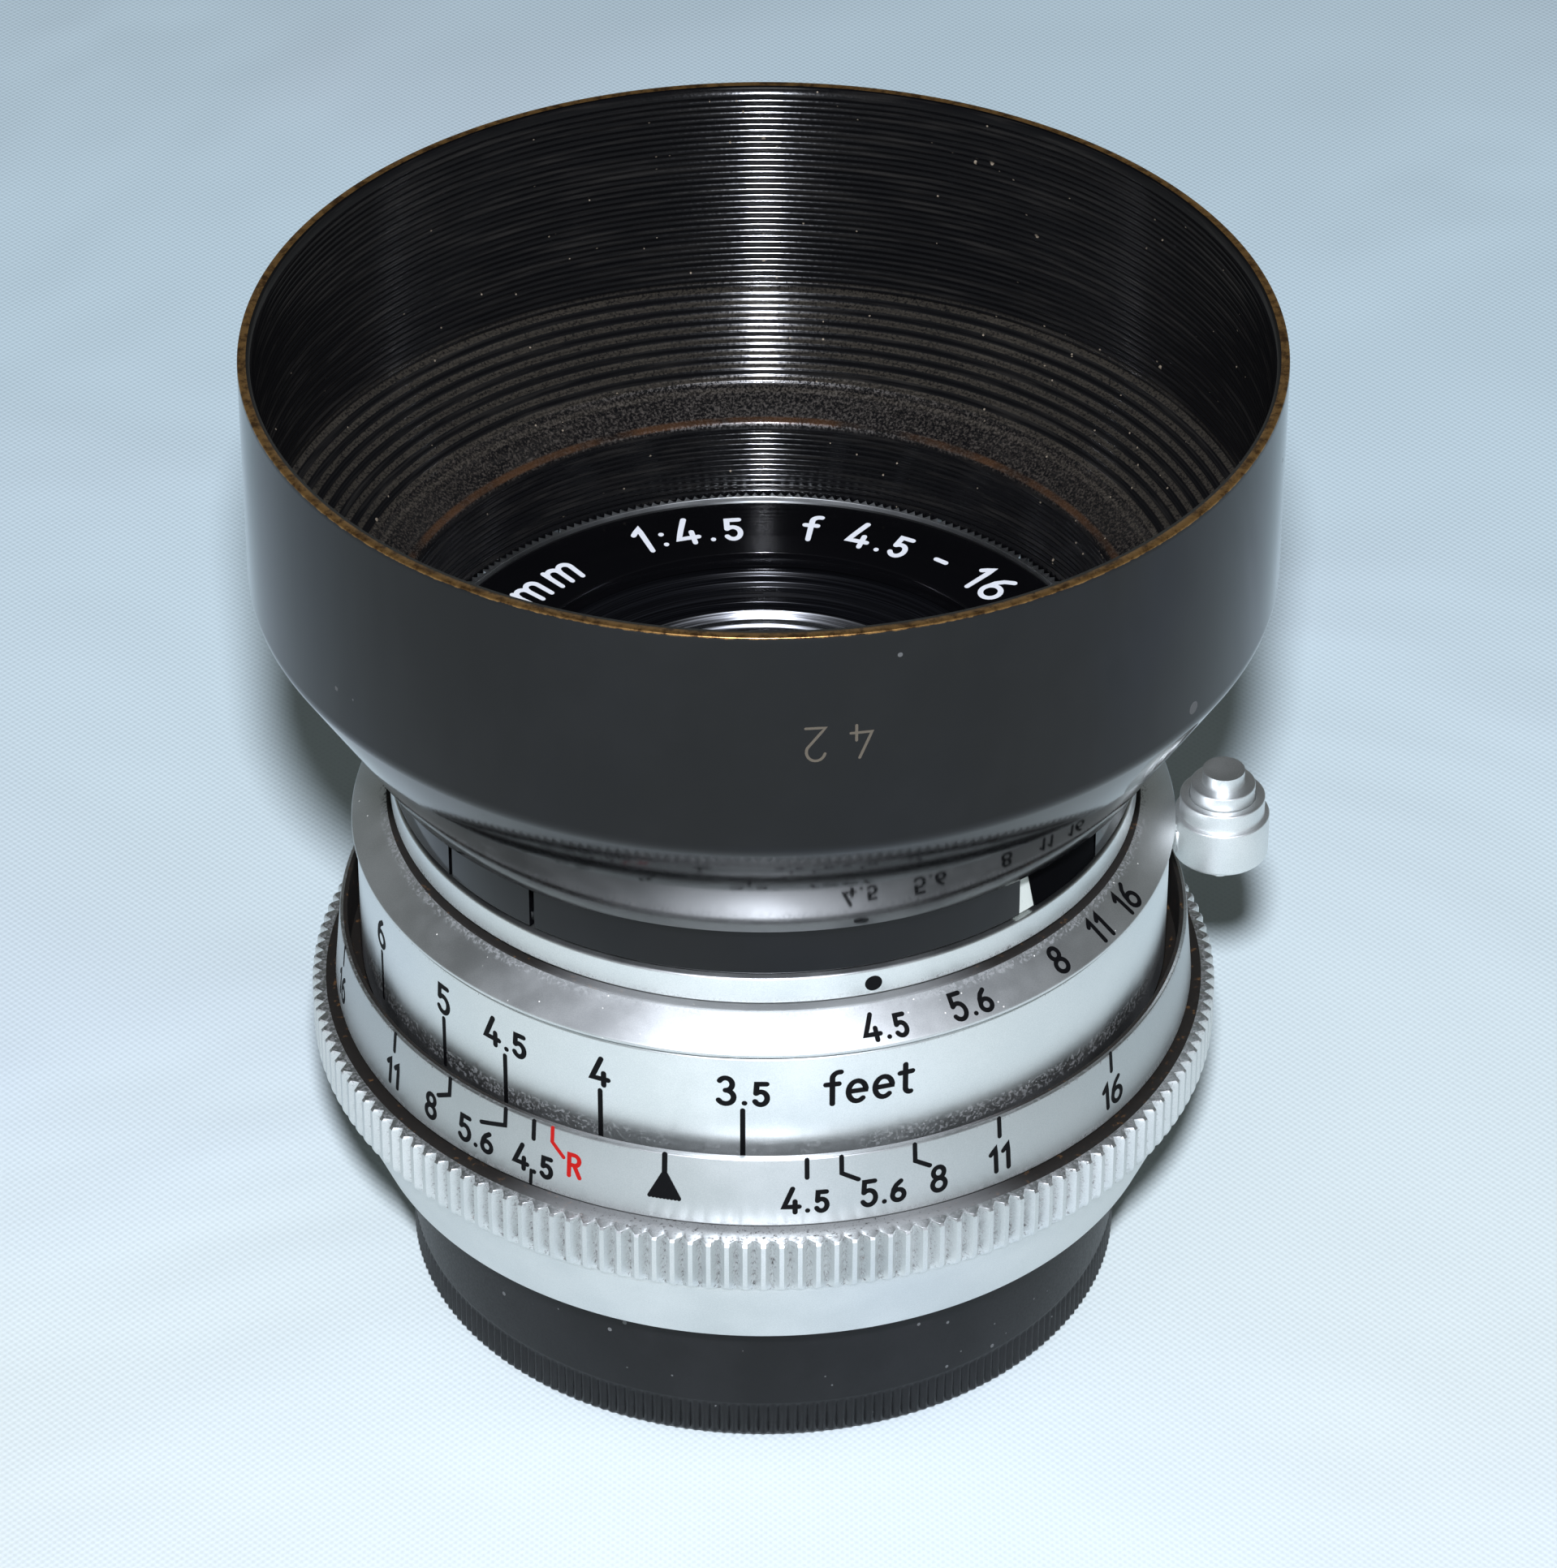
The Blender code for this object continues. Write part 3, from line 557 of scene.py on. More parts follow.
def enamel():
    """Glossy black enamel, with fine dust and brown metal showing on the worn rim."""
    made = Nodes("black_enamel_worn")
    cloud = made.noise(9.0, 4.0, 0.6)
    fine = made.noise(0.25, 3.0, 0.6)
    rim_noise = made.noise(0.7, 4.0, 0.7)
    reach = made.math("ADD", made.z, made.times(made.math("SUBTRACT", rim_noise, 0.5), 0.2 * MM))
    worn = made.mask(reach, (HOOD_TOP - 0.12) * MM, (HOOD_TOP - 0.04) * MM)
    within = made.math("GREATER_THAN", made.radius(), (HOOD_RADIUS - 0.5) * MM)
    worn = made.times(worn, within)
    dust = made.math("MAXIMUM", made.specks(2.6, 0.03), made.specks(0.9, 0.008))
    color = made.mix(made.mask(cloud, 0.4, 0.7), (0.0018, 0.0018, 0.0022), (0.0035, 0.0035, 0.004))
    brass = made.mix(made.mask(rim_noise, 0.35, 0.6), (0.12, 0.062, 0.024), (0.42, 0.235, 0.08))
    color = made.mix(dust, color, (0.09, 0.09, 0.09))
    color = made.mix(worn, color, brass)
    rough = made.blend(made.mask(fine, 0.3, 0.7), 0.06, 0.1)
    rough = made.blend(dust, rough, 0.6)
    rough = made.blend(worn, rough, 0.27)
    return made.finish(Base_Color=color, Metallic=made.times(worn, 0.85), Roughness=rough, IOR=1.34,
                       Normal=made.bump(fine, 0.0005, 0.5))


def baffle_black():
    """The turned inside of the hood: thin glossy black, the crests of its cone painted lighter brown as
    highlights with dust, and dust on the ledges.
    """
    made = Nodes("baffle_black")
    cloud = made.noise(6.0, 4.0, 0.6)
    grit = made.noise(0.16, 3.0, 0.7)
    streaks = made.turning_marks(5.0, 3.0, 3.0, 0.6)
    ledge = made.band(made.z, 44.3 * MM, 0.75 * MM, 0.35 * MM)
    lip = made.band(made.z, 43.6 * MM, 0.05 * MM, 0.12 * MM)
    cone = made.band(made.z, (CONE_FOOT + CONE_RISE / 2) * MM, CONE_RISE / 2 * MM, 0.8 * MM)
    dusty = made.times(ledge, made.mask(grit, 0.4, 0.75))
    specks = made.math("MAXIMUM", made.specks(0.9, 0.02), made.specks(0.4, 0.03))
    color = made.mix(made.mask(streaks, 0.45, 0.75), (0.005, 0.005, 0.0055), (0.016, 0.015, 0.014))
    pitch = 2 * CONE_RISE / CONE_RIDGES
    rings = made.mask(made.math("SINE", made.times(made.z, math.tau / (pitch * MM))), -0.2, 0.7)
    # The cone's ridge crests painted lighter brown: painted highlights, with dust.
    worn = made.times(made.times(cone, rings), made.mask(grit, 0.3, 0.6))
    color = made.mix(made.times(worn, made.blend(cloud, 0.3, 0.9)), color, (0.062, 0.054, 0.042))
    color = made.mix(made.times(dusty, 0.6), color, (0.085, 0.07, 0.055))
    color = made.mix(made.times(lip, made.mask(cloud, 0.35, 0.6)), color, (0.06, 0.03, 0.015))
    color = made.mix(specks, color, (0.22, 0.18, 0.13))
    rough = made.blend(made.mask(grit, 0.3, 0.7), 0.09, 0.16)
    rough = made.blend(made.math("MAXIMUM", specks, dusty), rough, 0.7)
    return made.finish(Base_Color=color, Roughness=rough, Metallic=0.15, IOR=1.5,
                       Normal=made.bump(grit, 0.002, 0.4))


def gloss_black(name="name_ring_black", index=1.45):
    """Polished black. A low index shows less of the room in it."""
    made = Nodes(name)
    fine = made.noise(0.3, 3.0, 0.6)
    dust = made.specks(1.4, 0.02)
    color = made.mix(dust, (0.0025, 0.0025, 0.003), (0.12, 0.12, 0.12))
    rough = made.blend(made.mask(fine, 0.3, 0.7), 0.08, 0.13)
    return made.finish(Base_Color=color, Roughness=made.blend(dust, rough, 0.7), IOR=index,
                       Normal=made.bump(fine, 0.0005, 0.5))


def turned_black():
    """Black anodised metal with turning marks that catch the light as rings."""
    made = Nodes("turned_black")
    marks = made.turning_marks(0.8, 14.0, 4.0, 0.7)
    color = made.mix(made.mask(marks, 0.4, 0.75), (0.004, 0.004, 0.005), (0.015, 0.016, 0.019))
    dust = made.specks(0.9, 0.02)
    color = made.mix(dust, color, (0.13, 0.13, 0.13))
    rough = made.blend(made.mask(marks, 0.3, 0.7), 0.14, 0.24)
    normal = made.bump(marks, 0.005, 0.4)
    return made.finish(Base_Color=color, Roughness=rough, Metallic=0.5, Normal=normal)


def cap_plastic():
    made = Nodes("cap_plastic_matt")
    grain = made.noise(0.16, 4.0, 0.65)
    cloud = made.noise(5.0, 4.0, 0.6)
    dust = made.math("MAXIMUM", made.specks(0.9, 0.04), made.specks(0.4, 0.02))
    color = made.mix(made.mask(cloud, 0.35, 0.7), (0.0035, 0.0035, 0.004), (0.007, 0.007, 0.0078))
    color = made.mix(dust, color, (0.12, 0.12, 0.12))
    rough = made.blend(made.mask(grain, 0.3, 0.7), 0.38, 0.5)
    return made.finish(Base_Color=color, Roughness=rough, IOR=1.36, Normal=made.bump(grain, 0.006, 0.5))


def plain_metal(name, low, high, rough):
    made = Nodes(name)
    marks = made.turning_marks(1.5, 8.0, 4.0, 0.6)
    color = made.mix(made.mask(marks, 0.35, 0.65), low, high)
    roughness = made.blend(made.mask(marks, 0.3, 0.7), rough, rough + 0.12)
    return made.finish(Base_Color=color, Metallic=1.0, Roughness=roughness,
                       Normal=made.bump(marks, 0.005, 0.4))


def coated_glass(name, tint):
    """Polished glass under a thin single coating."""
    made = Nodes(name)
    smear = made.noise(4.0, 3.0, 0.5)
    rough = made.blend(made.mask(smear, 0.55, 0.8), 0.0, 0.03)
    return made.finish(Base_Color=tint, Roughness=rough, IOR=1.62, Transmission_Weight=1.0,
                       Thin_Film_Thickness=115.0, Thin_Film_IOR=1.38)


def paint(name, color, rough=0.35):
    """Filled engraving, a little uneven where the filling has sunk."""
    made = Nodes(name)
    grit = made.noise(0.12, 3.0, 0.6)
    worn = tuple(part * 0.75 + 0.004 for part in color)
    return made.finish(Base_Color=made.mix(made.mask(grit, 0.55, 0.8), color, worn),
                       Roughness=made.blend(grit, rough, rough + 0.2), IOR=1.18,
                       Normal=made.bump(grit, 0.01, 0.4))


# ---------------------------------------------------------------- the pieces

def ridged(low, high, count, depth, side):
    """Round turning ridges from one (radius, height) point to another, standing out toward side."""
    low, high = np.array(low, float), np.array(high, float)
    away = np.array(side, float) * depth
    around = 5
    return [tuple(low + (high - low) * number / (count * around)
                  + away * (0.5 - 0.5 * math.cos(math.tau * number / around)))
            for number in range(count * around)]


def build_hood(outside, inside, polished, bare_edge_and_highlight):
    wall, collar_inner, collar_outer = 0.75, 21.15, 21.73
    ledge, neck_radius, shoulder = 38.6, 23.3, 48.5
    inner = HOOD_RADIUS - wall
    outer_part = rounded([(inner + 0.08, HOOD_TOP, 0.0), (HOOD_RADIUS - 0.02, HOOD_TOP, 0.1),
                          (HOOD_RADIUS, HOOD_TOP - 0.3, 0.05), (HOOD_RADIUS, shoulder, 0.5),
                          (neck_radius, ledge, 0.2), (collar_outer - 0.1, ledge, 0.0)], closed=False)
    bore = ridged((collar_inner + 0.12, 38.9), (21.3, 43.3), 12, 0.12, (-1, 0))
    step = rounded([(21.3, 43.35), (21.45, 43.6, 0.08), (21.7, 43.66, 0.08), (23.4, 44.95)], closed=False)
    cone = ridged((23.5, CONE_FOOT), (inner - 0.1, CONE_FOOT + CONE_RISE), CONE_RIDGES, 0.09, (-0.57, 0.82))
    tube = ridged((inner, 48.7), (inner, HOOD_TOP - 0.35), 33, 0.13, (-1, 0))
    inner_part = [(collar_inner, ledge), (collar_inner, 38.85)] + bore + step + cone + tube
    outline = outer_part + inner_part
    shell = lathe("hood_shell_turned", outline, steps=300, smooth_angle=75.0)
    rows = len(outline)
    steps = len(shell.data.polygons) // rows
    index = np.repeat((np.arange(rows) >= len(outer_part) - 1).astype(np.int32), steps)
    place_piece(shell, "hood", outside, ["hood_shell"])
    shell.data.materials.append(inside)
    shell.data.polygons.foreach_set("material_index", index)
    build_collar(outside, polished, bare_edge_and_highlight, collar_inner, collar_outer, ledge)


def bent_aside(verts, edges, turns, top, foot):
    """Turn a piece of the collar aside toward its foot, by the given degrees at each of its two edges."""
    bent = []
    for x, y, height in verts:
        radius, azimuth = math.hypot(x, y), math.degrees(math.atan2(x, -y))
        turn = np.interp(azimuth, edges, turns) * (top - height) / (top - foot)
        angle = math.radians(azimuth + turn)
        bent.append((radius * math.sin(angle), -radius * math.cos(angle), height))
    return bent


def build_collar(finish, polished, bare_edge_and_highlight, inner, outer, ledge):
    """The collar that grips the lens: four plain arcs and four sprung tongues between pairs of slits."""
    tongues, bent_tongue, bend = (-45.75, 51.0, 141.0, 225.0), 51.0, 2.5
    half, slit = 9.0, math.degrees(0.175 / outer)
    top, foot = ledge + 0.15, HOOD_FOOT
    profile = rounded([(outer, foot, 0.12), (inner, foot, 0.1), (inner, top), (outer, top)])
    cut_profile = [(outer - 0.15, foot), (inner, foot), (inner, top), (outer - 0.15, top)]
    parts = []
    for middle, following in zip(tongues, tongues[1:] + (tongues[0] + 360,)):
        start, end = middle - half + slit, middle + half - slit
        parts.append(arc_block(profile, end + 2 * slit, following - half - slit, 72))
        tongue = arc_block(profile, start, end, 24)
        if middle != bent_tongue:
            parts.append(tongue)
            continue
        bent = bent_aside(tongue[0], (start, end), (bend, 0.4), top, foot)
        # The bent tongue, in a black that reflects nothing: painted shade of the opening it stands in.
        place_piece(add_mesh("hood_tongue_bent", bent, tongue[1]), "hood", polished)
        # The cut edge of the slit, opened by the bent tongue, in pale paint: uncoated metal, painted bright
        # as a highlight.
        cut = arc_block(cut_profile, start - 2 * slit, start + 0.1, 4)
        opened = bent_aside(cut[0], (start - 2 * slit, start + 0.1), (0.0, bend), top, foot)
        place_piece(add_mesh("hood_tongue_cut", opened, cut[1]), "hood", bare_edge_and_highlight)
    place_piece(add_mesh("hood_collar", *gather(parts)), "hood", finish)


def turn_piece(name, outline, body, finish, slot, node, **shape):
    """A lathe-turned piece in the place of one CAD node."""
    return place_piece(lathe(name, outline, **shape), body, finish, [node])


def groove_wave(azimuths, count, crest=0.0):
    """0 on a tooth's crest, which takes up a share of the pitch, and 1 at the bottom of its V groove."""
    phase = (azimuths * count / math.tau) % 1.0
    return np.clip((1 - np.abs(2 * phase - 1) - crest) / (1 - crest), 0, 1)


def build_aperture_ring(chrome):
    teeth, root, tip, bore = 250, 20.32, 20.8, 20.2
    seat_radius, web_bore, web_top = 20.85, 19.3, 36.4

    def serration(radius, height, azimuths):
        if radius < root or height < SEAT_TOP - 0.1:
            return 0.0
        return -(radius - root) * groove_wave(azimuths, teeth)

    outline = rounded([(tip, RIM_TOP - 0.08), (tip, SEAT_TOP - 0.05), (root, SEAT_TOP - 0.12),
                       (seat_radius, SEAT_TOP - 0.3, 0.1), (seat_radius, BAND_TOP + 0.05, 0.05),
                       (BAND_RADIUS, BAND_TOP, 0.15), (BAND_RADIUS, BAND_FOOT, 0.12), (web_bore, BAND_FOOT),
                       (web_bore, web_top), (bore, web_top), (bore, RIM_TOP, 0.03), (root, RIM_TOP)])
    turn_piece("aperture_ring_turned", outline, "aperture", chrome, "satin_chrome", "aperture_ring",
               steps=teeth * 6, bump=serration)


def build_dot(black):
    radius, steps = 0.5, 24
    surface = turned_surface((BAND_RADIUS, BAND_FOOT), (BAND_RADIUS, BAND_TOP), DOT_AZIMUTH, 0.45)
    rim = [surface(radius * math.cos(turn), radius * math.sin(turn), lift)
           for lift in (0.02, -0.05) for turn in np.arange(steps) * math.tau / steps]
    faces = [tuple(range(steps)), tuple(range(2 * steps - 1, steps - 1, -1))]
    faces += [(i, steps + i, steps + (i + 1) % steps, (i + 1) % steps) for i in range(steps)]
    place_piece(add_mesh("aperture_dot", rim, faces), "aperture", black)


def engrave(name, parts, body, finish):
    place_piece(add_mesh(name, *gather(parts)), body, finish)


def build_bevel_ring(chrome, black):
    outline = rounded([(BEVEL_INNER, BEVEL_TOP, 0.1), (BEVEL_RADIUS, BEVEL_FOOT + 0.22, 0.08),
                       (BEVEL_RADIUS - 0.03, BEVEL_FOOT, 0.06), (19.6, BEVEL_FOOT), (19.6, BEVEL_TOP)])
    turn_piece("aperture_scale_turned", outline, "head", chrome, "satin_chrome", "aperture_scale_ring")
    parts = []
    low, high = (BEVEL_RADIUS, BEVEL_FOOT + 0.22), (BEVEL_INNER, BEVEL_TOP)
    for text, azimuth in (("4.5", 17.0), ("5.6", 30.0), ("8", 46.0), ("11", 55.6), ("16", 63.6)):
        parts += text_arrays(text, 1.6, 0.28, turned_surface(low, high, azimuth, 0.44), spacing=0.17)
    engrave("aperture_figures", parts, "head", black)


def focus_azimuth(feet):
    """Where a distance stands on the focus ring at rest, from the lens formula and the helicoid's pitch."""
    def extension(distance):
        return FOCAL_LENGTH ** 2 / (distance * FOOT - 2 * FOCAL_LENGTH)
    nearest_azimuth = -2.8
    return nearest_azimuth - (extension(3.5) - extension(feet)) * 360 / HELICOID_PITCH


def tick(surface, top, foot, width=0.3, lift=0.012):
    return stroke_arrays([(0.0, top), (0.0, foot)], width, lift, 0.03, surface)


def build_focus_ring(chrome, black):
    outline = rounded([(FOCUS_RADIUS, FOCUS_TOP, 0.12), (FOCUS_RADIUS, FOCUS_FOOT, 0.1), (22.9, FOCUS_FOOT),
                       (22.9, 25.2), (21.3, 25.2), (21.3, 28.3), (19.6, 28.3), (19.6, FOCUS_TOP)])
    turn_piece("focus_ring_turned", outline, "head", chrome, "satin_chrome", "focus_ring")
    parts = []
    low, high = (FOCUS_RADIUS, FOCUS_FOOT), (FOCUS_RADIUS, FOCUS_TOP)
    figures, tick_top, tick_foot = 27.95, 26.6, 23.3
    share = (figures - FOCUS_FOOT) / (FOCUS_TOP - FOCUS_FOOT)
    for feet in (3.5, 4, 4.5, 5, 6, 8, 10, 15, 25):
        surface = turned_surface(low, high, focus_azimuth(feet), share)
        parts += text_arrays(f"{feet:g}", 1.9, 0.33, surface, spacing=0.17)
        parts.append(tick(surface, tick_top - figures, tick_foot - figures))
    infinity = turned_surface(low, high, focus_azimuth(FAR), share)
    for side in (-0.62, 0.62):
        parts.append(stroke_arrays(arc(side, 0, 0.62, 0.55, 0, 360), 0.3, 0.012, 0.03, infinity))
    parts.append(tick(infinity, tick_top - figures, tick_foot - figures))
    parts += text_arrays("feet", 2.3, 0.33, turned_surface(low, high, 14.6, share), spacing=0.13)
    engrave("distance_figures", parts, "head", black)


def hooked_tick(surface, top, bend, end, width=0.28):
    """A tick that turns aside toward its figure. bend and end are (across, height)."""
    return stroke_arrays([(0.0, top), (bend[0], bend[1]), end], width, 0.012, 0.03, surface)


def build_scale_ring(chrome, black, red):
    low, high = (SCALE_RADIUS, SCALE_FOOT + 0.1), (SCALE_TOP_RADIUS, SCALE_TOP)
    outline = rounded([(SCALE_TOP_RADIUS, SCALE_TOP, 0.1), (SCALE_RADIUS, SCALE_FOOT + 0.1, 0.1),
                       (SCALE_RADIUS - 0.15, SCALE_FOOT), (22.9, SCALE_FOOT), (22.9, 20.4), (24.6, 20.4),
                       (24.6, SCALE_TOP, 0.08)])
    turn_piece("dof_scale_turned", outline, "mount", chrome, "satin_chrome", "dof_scale_ring")

    figures, top, foot, bend, hook_end = 21.25, SCALE_TOP - 0.05, 22.75, 22.85, 22.3
    share = (figures - SCALE_FOOT - 0.1) / (SCALE_TOP - SCALE_FOOT - 0.1)

    def surface_at(azimuth):
        return turned_surface(low, high, azimuth, share)

    def across(degrees):
        return math.radians(degrees) * SCALE_RADIUS

    parts = []
    # for each f-number, on the left and on the right: the degrees from its mark to its figure, and how much
    # of that the mark's hook reaches over
    marks = {4.5: ((0.0, 0), (-0.2, 0)), 5.6: ((-4.9, 0.8), (5.4, 0.4)), 8: ((-3.5, 0.62), (3.2, 0.62)),
             11: ((0.0, 0), (0.0, 0)), 16: ((0.0, 0), (0.0, 0))}
    for number, sides in marks.items():
        for side, (shift, hook) in zip((-1, 1), sides):
            azimuth = INDEX_AZIMUTH + side * number * DEGREES_PER_STOP_NUMBER
            surface = surface_at(azimuth)
            if hook:
                end = (across(shift) * hook, hook_end - figures)
                parts.append(hooked_tick(surface, top - figures, (0, bend - figures), end))
            else:
                parts.append(tick(surface, top - figures, foot - figures, 0.28))
            parts += text_arrays(f"{number:g}", 1.65, 0.3, surface_at(azimuth + shift), spacing=0.17)
    index = surface_at(INDEX_AZIMUTH)
    parts.append(tick(index, top - figures, 22.6 - figures, 0.32))
    base, apex, half = 21.05 - figures, 22.6 - figures, 0.95
    for layer, spread in enumerate(np.linspace(-0.9, 0.9, 9)):
        fan = [(spread * half, base), (spread * 0.1, apex)]
        parts.append(stroke_arrays(fan, 0.26, 0.012 + 0.002 * layer, 0.03, index))
    parts.append(tick(surface_at(-31.4), 20.55 - figures, 19.7 - figures, 0.22))
    engrave("depth_figures", parts, "mount", black)

    infrared = surface_at(-28.4)
    reach = across(1.7)
    parts = [hooked_tick(infrared, top - figures, (0, 23.0 - figures), (reach, 22.2 - figures), 0.24)]
    letter = turned_surface(low, high, -25.1, share + 0.13)
    parts += text_arrays("R", 1.5, 0.27, letter)
    engrave("infrared_mark", parts, "mount", red)


def build_mount_ring(knurled):
    teeth, root, crest = 162, 26.3, 0.26
    knurl_foot, knurl_top = 15.45, MOUNT_TOP - 0.05

    def knurl(radius, height, azimuths):
        if radius < root or not knurl_foot < height < knurl_top + 0.1:
            return 0.0
        return -max(0.0, radius - root) * groove_wave(azimuths, teeth, crest)

    outline = rounded([(25.75, MOUNT_TOP), (KNURL_RADIUS - 0.16, MOUNT_TOP, 0.03),
                       (KNURL_RADIUS - 0.02, MOUNT_TOP - 0.14), (KNURL_RADIUS, MOUNT_TOP - 0.25),
                       (KNURL_RADIUS, 16.4), (KNURL_RADIUS - 0.05, 16.15),
                       (26.68, 15.9), (26.4, 15.65), (26.05, 15.5), (25.98, 15.3),
                       (25.98, 15.15, 0.08), (23.8, MOUNT_FOOT, 0.15), (19.8, MOUNT_FOOT), (19.8, 13.2),
                       (22.9, 13.2), (22.9, MOUNT_TOP)])
    turn_piece("mount_ring_knurled", outline, "mount", knurled, "satin_chrome", "mount_ring",
               steps=teeth * 8, bump=knurl, smooth_angle=28.0)


def build_cap(plastic):
    ribs, rib_top = 230, 2.5

    def ribbing(radius, height, azimuths):
        if radius < CAP_RADIUS - 0.25 or not 0.2 < height < rib_top:
            return 0.0
        return -0.16 * groove_wave(azimuths, ribs) ** 1.5

    wall, floor = 19.8, 1.6
    outline = [(0, 0)] + rounded([(CAP_RADIUS - 0.5, 0, 0.1), (CAP_RADIUS - 0.2, 0.25), (CAP_RADIUS, 0.5),
                                  (CAP_RADIUS, rib_top - 0.1), (CAP_RADIUS - 0.06, rib_top + 0.1),
                                  (CAP_RADIUS, rib_top + 0.3, 0.05), (CAP_RADIUS, CAP_TOP, 0.25),
                                  (wall, CAP_TOP, 0.15), (wall, floor)], closed=False) + [(0, floor)]
    turn_piece("rear_cap_ribbed", outline, "cap", plastic, "cap_plastic", "rear_cap", steps=ribs * 6,
               closed=False, bump=ribbing)


def build_name_ring(gloss, white):
    outer, inner, foot = 20.1, 15.05, 37.4
    skirt_outer, skirt_inner, skirt_foot = 17.7, 16.9, 35.4
    low, high = (inner, NAME_TOP - NAME_DISH), (outer, NAME_TOP)
    outline = rounded([(*high, 0.05), (outer, foot), (skirt_outer, foot), (skirt_outer, skirt_foot),
                       (skirt_inner, skirt_foot), (skirt_inner, foot), (inner, foot), (*low, 0.12)])
    turn_piece("name_ring_turned", outline, "head", gloss, "black_gloss", "name_ring")
    parts = []
    for text, azimuth, size in (("35 mm", 237.0, 2.5), ("1:4.5", 195.0, 2.4), ("f 4.5 - 16", 149.0, 2.3),
                                ("35 mm", 97.0, 2.5), ("1:4.5", 55.0, 2.4), ("f 4.5 - 16", 9.0, 2.3)):
        surface = turned_surface(low, high, azimuth, reading=-1)
        parts += text_arrays(text, size, 0.34, surface, spacing=0.24)
    engrave("name_lettering", parts, "head", white)


def build_front_cell(black, bright, glass):
    steps_down = rounded([(15.0, 37.3), (14.7, 37.3, 0.1), (14.55, 37.0, 0.05), (14.1, 36.95, 0.08),
                          (13.95, 36.6, 0.05), (13.6, 36.55, 0.06), (13.35, 36.3, 0.05),
                          (12.95, 36.25, 0.06), (12.9, 35.9), (12.35, 35.85)], closed=False)
    outline = [(15.3, 37.3), (15.3, 35.0), (13.9, 35.0), (13.9, 25.7), (6.5, 25.7), (6.5, 26.3),
               (7.9, 26.3), (7.9, 29.2), (10.2, 29.2), (10.2, 31.6), (12.35, 31.6)] + steps_down[::-1]
    turn_piece("front_cell_stepped", outline, "head", black, "black_anodised", "front_cell")
    outline = rounded([(12.3, 34.7), (12.3, 36.1, 0.12), (12.1, 36.3, 0.15), (11.75, 35.75, 0.1),
                       (11.45, 35.75, 0.1), (11.2, 36.0, 0.15), (10.95, 35.7, 0.12), (10.9, 34.7)], steps=6)
    turn_piece("front_retainer_turned", outline, "head", bright, "black_anodised", "front_retainer")

    radius, edge_foot, edge_top, crown, hollow, rows = 12.0, 31.9, 33.9, 2.0, 0.8, 24

    def dome(edge, rise, order):
        sphere = (radius ** 2 + rise ** 2) / (2 * rise)
        reaches = [radius * row / rows for row in order]
        return [(reach, edge + math.sqrt(sphere ** 2 - reach ** 2) - (sphere - rise)) for reach in reaches]

    outline = dome(edge_top, crown, range(rows + 1)) + dome(edge_foot, hollow, range(rows, -1, -1))
    turn_piece("front_element_polished", outline, "head", glass, "coated_glass", "front_element",
               steps=192, closed=False)


def build_knob(chrome):
    terrace, well, step, tip = 2.5, 1.98, 1.9, 1.24
    boss = lathe("lever_boss_turned", rounded([
        (1.0, 27.4), (2.8, 27.4, 0.25), (2.8, 30.25, 0.12), (terrace, 30.3, 0.03), (terrace, 31.45, 0.1),
        (well, 31.45, 0.05), (well, 28.6), (1.0, 28.6)]), steps=128)
    arm = bmesh.new()
    bmesh.ops.create_cube(arm, size=1.0)
    low, high = (FOCUS_RADIUS + 0.02 - KNOB_REACH, -1.1, 27.7), (-2.2, 1.1, 29.7)
    for vert in arm.verts:
        for axis in range(3):
            vert.co[axis] = ((low[axis] + high[axis]) / 2 + vert.co[axis] * (high[axis] - low[axis])) * MM
    bmesh.ops.bevel(arm, geom=arm.edges[:], offset=0.3 * MM, segments=4, affect="EDGES")
    arm_mesh = bpy.data.meshes.new("lever_arm")
    arm.to_mesh(arm_mesh)
    arm.free()
    arm_mesh.shade_smooth()
    arm_piece = put("lever_arm", arm_mesh)
    button = lathe("lock_button_turned", [(0, KNOB_HIGH[2])] + rounded([
        (tip, KNOB_HIGH[2], 0.12), (tip, 32.32, 0.04), (step, 32.3, 0.1), (step, 30.8), (0.7, 30.8),
        (0.7, KNOB_LOW[2], 0.1)], closed=False) + [(0, KNOB_LOW[2])], steps=128, closed=False)
    for piece, body, replaced in ((boss, "head", ["lever_boss"]), (arm_piece, "head", []),
                                  (button, "lock", ["lock_button"])):
        piece.location = (KNOB_REACH * MM, 0, 0)
        place_piece(piece, body, chrome, replaced)


def build_lock_spring(steel):
    """The spring under the button, as it stands at rest."""
    low, high = cad_box("lock_spring")
    wire, turns, steps, sides, press = 0.13, 3.5, 24, 8, 0.9
    coil = (high[0] - low[0]) / 2 - wire
    length = high[2] - low[2]
    count = int(turns * steps)
    verts = []
    for number in range(count + 1):
        turn = math.tau * number / steps
        height = low[2] + wire + (length - 2 * wire) * number / count
        for side in range(sides):
            around = math.tau * side / sides
            radius, rise = coil + wire * math.cos(around), wire * math.sin(around)
            verts.append((radius * math.cos(turn), radius * math.sin(turn), height + rise))
    spring = add_mesh("lock_spring_coiled", verts, swept_faces(count, sides))
    spring.location = (KNOB_REACH * MM, 0, 0)
    place_piece(spring, "head", steel, ["lock_spring"])
    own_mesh(spring)


def build_hood_number(faint):
    """The collar size scratched on the hood, upside down when the lens stands on its cap."""
    surface = turned_surface((HOOD_RADIUS, 48.5), (HOOD_RADIUS, HOOD_TOP), 7.8, 0.505)

    def turned_over(x, y, lift):
        return surface(-x, -y, lift)

    parts = text_arrays("42", 2.2, 0.16, turned_over, spacing=0.55, lift=0.004)
    engrave("hood_size_number", parts, "hood", faint)


